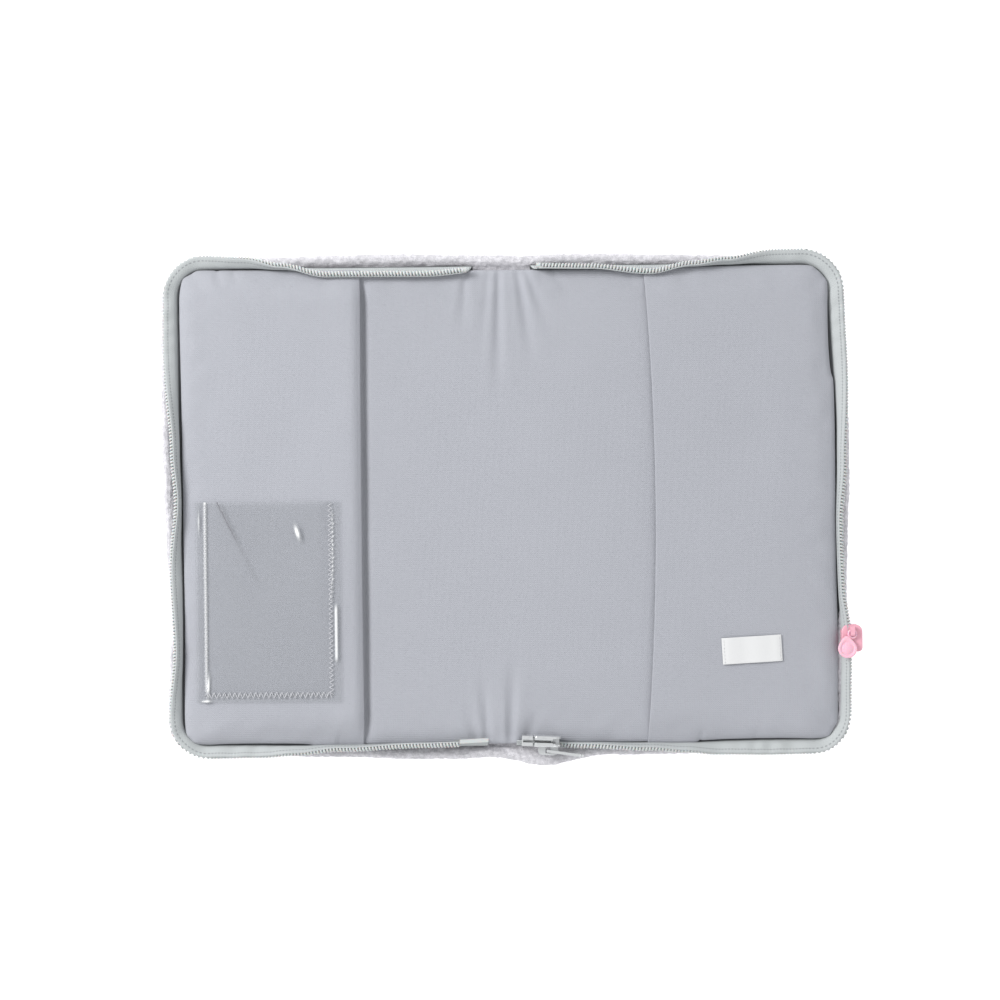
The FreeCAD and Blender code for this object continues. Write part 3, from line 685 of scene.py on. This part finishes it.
def pad_sway(x, y):
    """How the pad's outline strays from a rounded rectangle: narrower at the top right."""
    outward = ease(40, pad_right, x)
    dx = outward * (bump(y, -64, 28) * 1.1 - 3.4 * ease(30, pad_top, y))
    dx += ease(40, -pad_left, -x) * (0.9 * bump(y, -45, 30) - 0.5 * bump(y, 90, 40))
    dy = ease(60, pad_top, -y) * 1.2 * ease(40, 140, abs(x))
    return dx, dy


def pad_outline(inset):
    """The sewn edge of the lining, anticlockwise."""
    low, high = (pad_left + inset, pad_bottom + inset), (pad_right - inset, pad_top - inset)
    points = rounded(low, high, pad_corner - inset)
    return [p + Vector((*pad_sway(p.x, p.y), 0)) for p in points]


def puffed(piece, voxel, pressure, cap):
    """Evens out the mesh, inflates it as cloth and caps how far each point moves."""
    remesh = piece.modifiers.new("even", "REMESH")
    remesh.mode = "VOXEL"
    remesh.voxel_size = voxel * MM
    applied(piece)
    rest = [v.co.copy() for v in piece.data.vertices]
    cloth = piece.modifiers.new("puff", "CLOTH")
    cloth.settings.quality = 6
    cloth.settings.use_pressure = True
    cloth.settings.uniform_pressure_force = pressure
    cloth.settings.effector_weights.gravity = 0.0
    puffing_steps = 20
    for step in range(1, puffing_steps + 1):
        bpy.context.scene.frame_set(step)
    applied(piece)
    for vertex, start in zip(piece.data.vertices, rest):
        moved = vertex.co - start
        vertex.co = start + moved * min(1.0, cap * MM / max(moved.length, 1e-9))
    return piece


def fitted(piece, left, right, bottom, top):
    """Stretches each side of a puffed piece back to the size it was sewn to."""
    places = [v.co / MM for v in piece.data.vertices]
    near = [min(p[axis] for p in places) for axis in (0, 1)]
    far = [max(p[axis] for p in places) for axis in (0, 1)]
    for vertex, place in zip(piece.data.vertices, places):
        x = place.x * (right / far[0] if place.x > 0 else left / near[0])
        y = place.y * (top / far[1] if place.y > 0 else bottom / near[1])
        vertex.co = Vector((x, y, place.z)) * MM


# Each crease: x where it meets the edge, x where it fades out, edge side, length, depth, half width
spine_creases = (
    (-1.4, -2.0, 1, 44, 1.9, 1.15),
    (-5.6, -7.4, 1, 26, 0.7, 1.3),
    (7.6, 12.8, 1, 34, 1.5, 1.2),
    (10.8, 19.0, 1, 20, 1.0, 1.2),
    (-17.0, -18.4, 1, 22, 1.2, 1.1),
    (23.0, 31.0, 1, 12, 0.7, 1.6),
    (-8.6, -10.2, -1, 24, 1.5, 1.1),
    (2.0, 3.4, -1, 30, 1.6, 1.2),
    (9.0, 14.5, -1, 14, 0.9, 1.5),
    (-14.0, -17.0, -1, 13, 0.8, 1.3),
)
# Small puckers along the sewn edges: x, edge side, length, depth
edge_puckers = (
    (-136, 1, 9, 0.8),
    (-128, 1, 7, 0.6),
    (-80, -1, 9, 0.8),
    (-77, -1, 6, 0.5),
    (92, -1, 8, 0.7),
    (60, 1, 8, 0.5),
    (118, -1, 7, 0.5),
    (-60, 1, 7, 0.5),
)


def creased(x, y):
    """Depth of the soft folds that run in from the two ends of the spine, and edge puckers."""
    depth = 0.0
    for edge_x, far_x, side, length, most, width in spine_creases:
        from_edge = (pad_top - y) if side > 0 else (y - pad_bottom)
        share = from_edge / length
        if 0 <= share < 1.6:
            middle = edge_x + (far_x - edge_x) * share
            fade = (1 - ease(0.25, 1.6, share)) * ease(-0.1, 0.12, share)
            spread = width * (1 + 0.9 * share)
            most *= 0.78
            depth += most * fade * bump(x, middle, spread)
            ridge = 0.45 * bump(x, middle - 2.1 * spread, 1.2 * spread)
            ridge += 0.3 * bump(x, middle + 2.3 * spread, 1.4 * spread)
            depth -= most * fade * ridge
    for place, side, length, most in edge_puckers:
        from_edge = (pad_top - y) if side > 0 else (y - pad_bottom)
        depth += most * bump(x, place + 0.3 * from_edge, 1.2) * (1 - ease(0.2, 1.3, from_edge / length))
    groove = 2.0 * bump(x, left_free_edge + 0.6, 2.0) * ease(0, 12, pad_top - y)
    depth += groove * ease(0, 12, y - pad_bottom)
    edge = min(pad_top - y, y - pad_bottom, x - pad_left, pad_right - x)
    ripple = noise.noise(Vector((x * 0.11, y * 0.11, 3.0)))
    depth += 0.55 * ripple * (1 - ease(3, 20, edge))
    swell = noise.noise(Vector((x * 0.017, y * 0.017, 9.0)))
    return depth + 0.55 * swell


def make_pad():
    """Padding and lining as one puffed slab across both leaves."""
    bm = bmesh.new()
    outline = [Vector((p.x, p.y, pad_base)) for p in pad_outline(0.6)]
    face = bm.faces.new([bm.verts.new(p) for p in outline])
    raise_slab(bm, face, pad_crown - pad_base)
    pad = finished("pad_whole", bm, jersey)
    puffed(pad, voxel=3.2, pressure=4.0, cap=1.5)
    fitted(pad, pad_left, pad_right - 0.2, pad_bottom - 0.2, pad_top - 0.2)
    subdivided(pad)
    for vertex in pad.data.vertices:
        x, y, z = vertex.co / MM
        top = ease(3.0, 6.5, z)
        z -= creased(x, y) * top
        vertex.co = Vector((x, y, max(z, pad_base))) * MM
    return pad


def half_of(whole, name, side, material, cuts=()):
    """Keeps one side of a piece that spans the spine, and closes it at the middle."""
    bm = bmesh.new()
    bm.from_mesh(whole.data)
    for x in cuts:
        plane = dict(plane_co=(x * side * MM, 0, 0), plane_no=(1, 0, 0))
        bmesh.ops.bisect_plane(bm, geom=everything_in(bm), **plane)
    middle = dict(plane_co=(0, 0, 0), plane_no=(-side, 0, 0), clear_outer=True)
    cut = bmesh.ops.bisect_plane(bm, geom=everything_in(bm), dist=touching, **middle)
    rim_edges = [e for e in cut["geom_cut"] if isinstance(e, bmesh.types.BMEdge)]
    for edge in rim_edges:
        edge.smooth = False
    bmesh.ops.holes_fill(bm, edges=rim_edges, sides=0)
    bmesh.ops.recalc_face_normals(bm, faces=bm.faces)
    return object_from(name, mesh_from(name, bm), material)


def bend_with_fold(piece, side):
    """Lets the half follow its leaf, the fold and the spine."""
    leaf = "right_leaf" if side > 0 else "left_leaf"
    outer, inner = fold_line + fold_soft, fold_line - fold_soft
    start = Vector((side * outer, 0, fold_height)) * MM
    end = Vector((side * inner, 0, fold_height)) * MM
    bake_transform(piece, leaf, "spine", start=start, end=end)


def make_pad_halves(pad):
    subdivided(pad)
    for side, word in ((1, "right"), (-1, "left")):
        half = half_of(pad, f"{word}_pad_and_lining", side, jersey)
        nodes = [f"{word}_lining", f"{word}_padding"]
        if side > 0:
            nodes += ["spine_lining", "spine_padding"]
        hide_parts(*nodes)
        bend_with_fold(half, side)


# ---- velour cover

# From the middle of the bottom, up round the outside, over the rim and down inside:
# (inset from the outline, height)
cover_profile = (
    (9.0, 0.05),
    (4.6, 0.1),
    (2.2, 0.5),
    (0.8, 1.4),
    (0.0, 2.8),
    (0.4, 4.2),
    (1.7, 5.1),
    (3.2, 4.9),
    (4.6, 3.8),
    (5.6, 2.6),
    (7.4, 1.8),
    (10.5, 1.7),
)


def cover_sway(p):
    """The cover's soft outline: a fuller right side and a bulge under the slider."""
    x, y = p.x, p.y
    right = ease(60, cover_right, x)
    left = ease(60, -cover_left, -x)
    dx = right * (2.4 * bump(y, 22, 52) - 0.6 * bump(y, -80, 30))
    dx -= left * (1.6 * bump(y, 60, 60) - 2.4 * bump(y, -52, 26))
    low = ease(40, cover_half, -y)
    high = ease(40, cover_half, y)
    dy = -low * (4.6 * bump(x, 19, 15) + 1.2 * bump(x, -30, 24) - 1.4 * bump(abs(x), 120, 34))
    dy += high * (1.5 * bump(x, -58, 40) + 0.5 * bump(x, 40, 40) - 1.2 * bump(x, 118, 26))
    wobble = noise.noise(Vector((x * 0.05, y * 0.05, 1.0))) * 0.6
    return Vector((dx + wobble * (right - left), dy + wobble * (high - low), 0))


def cover_row(inset, height):
    low = (cover_left + inset, -cover_half + inset)
    high = (cover_right - inset, cover_half - inset)
    row = []
    for p in rounded(low, high, cover_corner - inset, side_steps=(230, 165), arc_steps=34):
        p = p + cover_sway(p) * (1 - ease(2, 10, inset) * 0.8)
        lift = noise.noise(Vector((p.x * 0.06, p.y * 0.06, 5.0))) * 0.7 * ease(2, 5, height)
        row.append(Vector((p.x, p.y, height + lift)))
    return row


def make_cover_halves():
    fine_profile = []
    for one, other in zip(cover_profile, cover_profile[1:]):
        fine_profile += [Vector(one).lerp(Vector(other), i / 3) for i in range(3)]
    bm = skin([cover_row(inset, height) for inset, height in fine_profile])
    bmesh.ops.holes_fill(bm, edges=[e for e in bm.edges if e.is_boundary], sides=0)
    bmesh.ops.recalc_face_normals(bm, faces=bm.faces)
    whole = finished("cover_whole", bm, velour)
    normals = [v.normal.copy() for v in whole.data.vertices]
    for vertex, normal in zip(whole.data.vertices, normals):
        place = vertex.co / MM
        proud = ease(0.4, 2.0, place.z)
        tuft = noise.noise(place * 0.55) * 0.42 + noise.noise(place * 1.3) * 0.22
        vertex.co += normal * (tuft * proud * MM)
    soft_cuts = [fold_line - fold_soft - 1 + i * 1.6 for i in range(11)]
    for side, word in ((1, "right"), (-1, "left")):
        half = half_of(whole, f"{word}_velour_cover", side, velour, cuts=soft_cuts)
        nodes = [f"{word}_cover"] + (["spine_cover"] if side > 0 else [])
        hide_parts(*nodes)
        bend_with_fold(half, side)
    bpy.data.objects.remove(whole)


# ---- sleeve flaps


def make_flap(pad, side):
    """Jersey flap that follows the pad's sewn edges and stands off it along its free edge."""
    word = "right" if side > 0 else "left"
    free_edge = right_free_edge if side > 0 else -left_free_edge
    lift = 1.6 if side > 0 else 3.4
    bow = 4.8 if side > 0 else 0.3
    bm = bmesh.new()
    bm.from_mesh(pad.data)
    planes = (
        ((side * free_edge * MM, 0, 0), (-side, 0, 0)),
        ((0, 0, seam_height * MM), (0, 0, -1)),
    )
    for where, way in planes:
        plane = dict(plane_co=where, plane_no=way, clear_outer=True)
        bmesh.ops.bisect_plane(bm, geom=everything_in(bm), dist=touching, **plane)
    for vertex in bm.verts:
        x, y, z = vertex.co / MM
        normal = vertex.normal
        from_free = abs(x) - free_edge
        from_end = min(pad_top - y, y - pad_bottom)
        from_outer = (pad_right - x) if side > 0 else (x - pad_left)
        held = min(ease(0, 16, from_end), ease(0, 30, from_outer))
        stand = 0.45 + lift * held * (1 - 0.55 * ease(0, 60, from_free))
        stand += 0.5 * held * noise.noise(Vector((x * 0.03, y * 0.03, 20.0 + side)))
        shift = bow * (1 - (y / pad_top) ** 2) * (1 - ease(0, 45, from_free)) * side
        z += stand * max(normal.z, 0.25)
        x += normal.x * 0.45 + shift
        y += normal.y * 0.45
        vertex.co = Vector((x, y, z)) * MM
    flap = object_from(f"{word}_sleeve_flap", mesh_from(f"{word}_sleeve", bm), jersey)
    thickened(flap, 1.0, 0.0)
    subdivided(flap)
    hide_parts(f"{word}_flap")
    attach(flap, f"{word}_leaf")
    return flap


# ---- zip

# How the tape leans along each leaf, from its top end round to its bottom end:
# (distance along the seam, lean in degrees, reach from seam to coil). 0 lies flat and outward,
# 90 stands upright and more leans in over the lining.
right_lean = (
    (0, 96, 6.0),
    (28, 100, 6.2),
    (56, 124, 6.2),
    (76, 92, 6.2),
    (92, 74, 6.2),
    (118, 24, 6.2),
    (150, 20, 6.4),
    (170, 24, 6.2),
    (226, 62, 5.6),
    (256, 86, 5.6),
    (286, 84, 5.6),
    (310, 58, 5.4),
    (326, 42, 4.8),
    (345, 36, 4.8),
    (362, 22, 6.0),
    (384, 22, 6.2),
    (406, 30, 5.8),
    (424, 60, 6.2),
    (440, 76, 6.3),
    (470, 92, 6.3),
    (503, 106, 6.4),
)
left_lean = (
    (0, 112, 6.2),
    (22, 126, 6.2),
    (70, 124, 6.2),
    (92, 84, 6.2),
    (110, 48, 6.2),
    (132, 26, 6.0),
    (150, 24, 6.0),
    (172, 22, 6.2),
    (222, 66, 6.0),
    (246, 82, 6.0),
    (282, 44, 6.0),
    (320, 66, 6.0),
    (352, 36, 6.0),
    (372, 30, 5.6),
    (392, 34, 5.4),
    (410, 60, 6.0),
    (432, 84, 6.2),
    (470, 100, 6.3),
    (503, 106, 6.4),
)


class Chain:
    """The seam that one leaf's tape is sewn into, and where its coil runs."""

    def __init__(self, side, lean, last_x):
        self.side = side
        self.lean = lean
        outline = pad_outline(-0.3)
        inside = [p for p in outline if p.x * side > -20]
        turn = 2 * math.pi
        inside.sort(key=lambda p: math.atan2(-(p.x * side), p.y) % turn, reverse=True)
        top = [p for p in inside if p.x * side >= tape_end or p.y < 0]
        points = [p for p in top if p.x * side >= last_x or p.y > 0]
        first = Vector((tape_end * side, points[0].y, 0))
        last = Vector((last_x * side, points[-1].y, 0))
        self.points = [first] + points + [last]
        self.marks = [0.0]
        for one, other in zip(self.points, self.points[1:]):
            self.marks.append(self.marks[-1] + (other - one).length)
        self.length = self.marks[-1]
        self.share = lean[-1][0] / self.length

    def seam(self, along):
        """Seam point and its outward direction."""
        index = min(max(bisect_right(self.marks, along), 1), len(self.marks) - 1)
        span = max(self.marks[index] - self.marks[index - 1], 1e-6)
        share = (along - self.marks[index - 1]) / span
        one, other = self.points[index - 1], self.points[index]
        way = self.points[min(index + 1, len(self.points) - 1)] - self.points[max(index - 2, 0)]
        outward = Vector((-way.y, way.x, 0)).normalized() * self.side
        point = one.lerp(other, share)
        return Vector((point.x, point.y, seam_height)), outward

    def station(self, along):
        """Seam point, direction from seam to coil, the tape's outer side, and the reach."""
        seam, outward = self.seam(along)
        lean, reach = eased(self.lean, along * self.share)
        angle = math.radians(lean)
        across = outward * math.cos(angle) + UP * math.sin(angle)
        outer = outward * math.sin(angle) - UP * math.cos(angle)
        return seam, across, outer, reach

    def coil_middle(self, along):
        """Middle of the coil's section, and the directions across and out of the tape."""
        seam, across, outer, reach = self.station(along)
        return seam + across * reach + outer * (coil_thick / 2 + coil_gap), across, outer


def crinkle(chain, along, share):
    """Puckers where the tape is eased round the corners."""
    tight = bump(along, 0.30 * chain.length, 24) + bump(along, 0.745 * chain.length, 26)
    wave = math.sin(along * 0.62 + 2.0 * math.sin(along * 0.11))
    return 0.55 * tight * wave * math.sin(math.pi * share)


def make_tape_band(chain, word):
    """Woven band from the seam to under the coil, with its own map for the weave."""
    step = 1.4
    band_width = 7.0
    count = int(chain.length / step)
    shares = [-0.25] + [i / 8 for i in range(9)]
    rows = []
    for i in range(count + 1):
        along = chain.length * i / count
        row = []
        for share in shares:
            cut = 5.0 * max(0.0, share) * (1 - ease(0, 16, along))
            seam, across, outer, reach = chain.station(along + cut)
            if share < 0:
                inward = chain.seam(along)[1]
                row.append(seam - inward * 1.7 - UP * 0.6)
                continue
            sag = 0.5 * math.sin(math.pi * share) - crinkle(chain, along, share)
            sag -= 1.0 * bump(share, 0.06, 0.12)
            row.append(seam + across * (reach + 1.2) * share - outer * sag)
        rows.append(row)
    bm = skin(rows, closed_rows=False)
    strip = bm.loops.layers.uv.new("strip")
    bm.verts.index_update()
    columns = len(shares)
    for face in bm.faces:
        for loop in face.loops:
            row, column = divmod(loop.vert.index, columns)
            loop[strip].uv = ((1 - shares[column]) * band_width, row * step)
    bmesh.ops.recalc_face_normals(bm, faces=bm.faces)
    tape = finished(f"{word}_zip_tape", bm, tape_cloth)
    thickened(tape, 0.45, 0.0)
    applied(tape)
    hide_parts(f"{word}_tape")
    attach(tape, f"{word}_leaf")


def make_coil(chain, word, finish):
    """Flattened helix sewn on the outer side of the tape's edge."""
    steps = 10
    begin = 4.6
    turns = int((finish - begin) / coil_pitch)
    route = []
    for k in range(turns * steps):
        phase = 2 * math.pi * k / steps
        centre, across, outer = chain.coil_middle(begin + coil_pitch * k / steps)
        swing = across * (coil_width / 2) * math.cos(phase)
        route.append(centre + swing + outer * (coil_thick / 2) * math.sin(phase))
    core_count = int((finish - begin) / core_step)
    core = [chain.coil_middle(begin + core_step * i)[0] for i in range(core_count)]
    coil = mesh_tube(f"{word}_zip_coil", [route], coil_wire, 6, nylon)
    cord = mesh_tube(f"{word}_coil_core_cord", [core], 0.62, 8, core_cord)
    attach(cord, f"{word}_leaf")
    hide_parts(f"{word}_coil")
    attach(coil, f"{word}_leaf")
    points = [chain.coil_middle(begin + shift)[0] for shift in (-1.6, -1.0, 0.0, 0.8)]
    stop = mesh_tube(f"{word}_end_stop", [points], 1.25, 12, nylon)
    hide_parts(f"{word}_top_stop")
    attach(stop, f"{word}_leaf")


def make_zip():
    for side, word, lean, last_x in ((1, "right", right_lean, 5.0), (-1, "left", left_lean, 8.5)):
        chain = Chain(side, lean, last_x)
        make_tape_band(chain, word)
        make_coil(chain, word, chain.length - (pin_root - last_x) + 1.0)


# ---- window, label and pulls


def turned(place, angle):
    return Matrix.Translation(place) @ Matrix.Rotation(math.radians(angle), 4, "Z")


def laid_on(height, turn, own_height):
    """A lookup from a point in a piece's own plane to its place over the cloth."""

    def laid(local, above=0.0):
        place = turn @ local
        z = height(place.x, place.y) + own_height(local.x, local.y) + above
        return Vector((place.x, place.y, z))

    return laid


def make_window(flap):
    """Clear film pocket on the left flap, sewn on three sides with a zigzag."""
    height = surface_of(flap)
    middle = (window_low + window_high) / 2
    half_wide, half_high = 34.4, 47.6
    stitch_x, stitch_low = 29.9, half_high - 3.4
    turn = turned(Vector((middle.x, middle.y, 0)), 0.0)
    bm = fine_grid(half_wide, half_high, 120, 150)

    def film_height(x, y):
        """Height over the cloth: pinned down by the stitches, standing proud elsewhere."""
        inner_x = min(1.0, max(0.0, (stitch_x - abs(x)) / 6.0))
        inner_y = min(1.0, max(0.0, (y + stitch_low) / 6.0))
        inside = ease(0, 1, min(inner_x, inner_y))
        outside = ease(0, 3.4, max(abs(x) - stitch_x, -y - stitch_low))
        mouth = ease(20, half_high, y) * inside
        proud = 0.3 + 0.85 * inside + 0.7 * outside + 0.9 * mouth
        return proud - 0.35 * folded(x, y) + 0.4 * painted_glint_and_ridge(x, y)

    def folded(x, y):
        """A pressed crease that runs down from the open edge and fades: the film dips along it and is
        painted dark there as shade.
        """
        return bump(x * 0.898 + y * 0.44, -0.4, 0.45) * (0.3 * ease(4, 14, y) + 0.7 * ease(24, 34, y))

    def painted_glint_and_ridge(x, y):
        """Where white highlights are painted on the film and small ridges are raised: beside the stitches,
        at two corners and at one dimple.
        """
        waver = 0.35 * math.sin(y * 1.9) + 0.25 * math.sin(y * 4.3)
        left = bump(x, -stitch_x + 0.2, 0.62) * ease(-45, -40, y) * (0.85 + 0.15 * math.sin(y * 2.7))
        left += 0.8 * bump(x, -32.8, 0.3) * bump(y, 38, 5)
        left += bump(x, -stitch_x + 1.1 + 0.06 * y + 2.4, 0.5) * bump(y, -40, 5)
        line = 29.4 + 0.6 * waver + 1.6 * ease(20, -20, -y)
        right = bump(x, line, 0.4) * ease(-2, 3, y) * ease(-46, -38, -y)
        right *= 0.55 + 0.45 * math.sin(y * 3.1)
        right += bump(x, 32.4, 0.55) * ease(-30, -26, y) * (1 - ease(-4, 0, y))
        corner = bump(x, -29.8, 2.0) * bump(y, -half_high + 0.6, 0.6)
        dimple = 1.3 * bump(x + 0.28 * (y - 33), 14.3, 0.85) * bump(y, 33, 3.0)
        row = 0.4 * bump(y, -stitch_low, 0.9) * ease(-31, -28, x) * ease(-31, -28, -x)
        row *= 0.5 + 0.5 * math.sin(x * 2.56)
        return min(1.0, max(0.0, left) + max(0.0, right) + corner + dimple + row)

    on_cloth = laid_on(height, turn, film_height)
    # Painted highlights: a per-point mask of where the film's white glints are painted.
    bm.verts.layers.float.new("painted_glint")
    bm.verts.layers.float.new("fold")
    painted_glint = bm.verts.layers.float["painted_glint"]
    fold = bm.verts.layers.float["fold"]
    for vertex in bm.verts:
        vertex[painted_glint] = painted_glint_and_ridge(vertex.co.x, vertex.co.y)
        vertex[fold] = folded(vertex.co.x, vertex.co.y)
        vertex.co = on_cloth(vertex.co)
    film = finished("card_window_film", bm, window_film)
    thickened(film, 0.25, 1.0)
    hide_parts("card_window")
    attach(film, "left_leaf")

    def zigzag(start, end, pitch, half):
        way = end - start
        steps = int(way.length / pitch) * 2
        side = Vector((-way.y, way.x, 0)).normalized() * half
        points = []
        for i in range(steps + 1):
            for near, up in ((-0.25, 0.16), (0.0, -0.1), (0.25, 0.16)):
                share = min(1.0, max(0.0, (i + near) / steps))
                reach = (1 - 2 * abs(near)) if near else 1.0
                local = start + way * share + side * reach * (1 if i % 2 else -1)
                points.append(on_cloth(local, 0.28 + up))
        return points

    corner = Vector((stitch_x, -stitch_low, 0))
    routes = [
        zigzag(Vector((-stitch_x, half_high - 1, 0)), Vector((-stitch_x, -stitch_low, 0)), 2.28, 0.7),
        zigzag(Vector((-stitch_x, -stitch_low, 0)), corner, 2.45, 1.5),
        zigzag(corner, Vector((stitch_x, half_high - 1, 0)), 2.28, 1.0),
    ]
    sewing = mesh_tube("window_zigzag_thread", routes, 0.16, 6, window_thread)
    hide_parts("window_stitches")
    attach(sewing, "left_leaf")


def make_label(flap):
    """Blank satin label with turned-under ends, sewn down each end."""
    height = surface_of(flap)
    middle = (label_low + label_high) / 2
    turn = turned(Vector((middle.x, middle.y, 0)), 3.0)
    half_wide, half_high = 14.2, 6.3
    label_thick = 0.45
    bm = fine_grid(half_wide, half_high, 36, 16)

    def patch_height(x, y):
        ends = ease(0, 3.0, half_wide - abs(x))
        return 0.25 + 0.35 * ends + 0.12 * math.sin(x * 0.5) * ends

    on_cloth = laid_on(height, turn, patch_height)
    for vertex in bm.verts:
        vertex.co = on_cloth(vertex.co)
    label = finished("blank_label", bm, label_satin)
    thickened(label, label_thick, 1.0)
    bevel = label.modifiers.new("soft_edge", "BEVEL")
    bevel.width = 0.12 * MM
    bevel.segments = 2
    bevel.limit_method = "ANGLE"
    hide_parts("label_patch")
    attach(label, "right_leaf")

    routes = []
    count = 7
    for side in (-1, 1):
        for i in range(count):
            low = -half_high + 0.5 + (2 * half_high - 1.0) * i / count
            points = []
            for share, dip in ((0.0, -0.25), (0.2, 0.1), (0.5, 0.16), (0.8, 0.1), (1.0, -0.25)):
                local = Vector((side * (half_wide - 1.0), low + share * 1.2, 0))
                points.append(on_cloth(local, label_thick + dip))
            routes.append(points)
    sewing = mesh_tube("label_thread", routes, 0.13, 6, label_thread)
    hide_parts("label_stitches")
    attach(sewing, "right_leaf")


def make_pink_pull():
    """Drop-shaped soft pull with a raised ring, on a short loop round the slider's crown."""
    low, high = cad_box("pink_pull_tab")
    pivot = Vector(joint_place("pink_pull_swing")) / MM
    lobe = Vector((pivot.x - 2.4, low.y + 2.9, (low.z + high.z) / 2 + 0.1))
    thick = 1.7
    bm = bmesh.new()
    radius = 4.5
    bmesh.ops.create_circle(bm, cap_ends=True, segments=56, radius=radius)
    bmesh.ops.translate(bm, vec=(0, 0, -thick / 2), verts=bm.verts)
    raise_slab(bm, bm.faces[:][0], thick)
    rims = [e for e in bm.edges if abs(e.verts[0].co.z - e.verts[1].co.z) < 1e-6]
    rounding = dict(offset=0.45, offset_type="OFFSET", affect="EDGES", segments=3, profile=0.5, material=-1)
    bmesh.ops.bevel(bm, geom=rims, **rounding)
    top = max(bm.faces, key=lambda f: f.calc_center_median().z * (len(f.verts) > 8))
    for inset, drop in ((0.75, 0.0), (0.25, -0.32), (0.3, 0.0), (0.3, 0.26)):
        bmesh.ops.inset_region(bm, faces=[top], thickness=inset, depth=drop, use_even_offset=True)
    for vertex in bm.verts:
        towards = max(0.0, vertex.co.y) / radius
        vertex.co.y += 1.5 * towards**3
        vertex.co.x -= 0.4 * towards**2
        vertex.co.x *= 1 - 0.2 * towards**2
    bmesh.ops.translate(bm, vec=lobe, verts=bm.verts)
    drop = finished("pink_drop_pull", bm, soft_pink)
    loop_route = []
    loop_steps = 32
    for i in range(loop_steps + 1):
        angle = 2 * math.pi * i / loop_steps
        x, y = pivot.x + 1.75 * math.sin(angle), pivot.y - 1.2 + 1.9 * math.cos(angle)
        loop_route.append(Vector((x, y, pivot.z + 0.15 * math.cos(angle))))
    loop = mesh_tube("pink_pull_loop", [loop_route], 0.62, 8, soft_pink)
    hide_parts("pink_pull_tab")
    for piece in (drop, loop):
        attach(piece, "pink_pull")


def finish_hardware():
    """Gives the small hard parts that show as they are their finishes."""
    finishes = {
        white_enamel: ("metal_slider_body", "metal_slider_crown", "metal_pull_tab", "retainer_box"),
        pink_enamel: ("pink_slider_body", "pink_slider_crown"),
        spring_steel: ("metal_lock_spring",),
        nylon: ("insertion_pin", "right_top_stop", "left_top_stop"),
        end_film: ("right_end_film", "left_end_film"),
    }
    for finish, names in finishes.items():
        for name in names:
            for place in frame["nodes"][name].material_slots:
                place.material = finish


# ---- assembly

make_studio()
make_zip()
pad = make_pad()
right_flap = make_flap(pad, 1)
left_flap = make_flap(pad, -1)
make_pad_halves(pad)
bpy.data.objects.remove(pad)
make_cover_halves()
make_window(left_flap)
make_label(right_flap)
make_pink_pull()
finish_hardware()
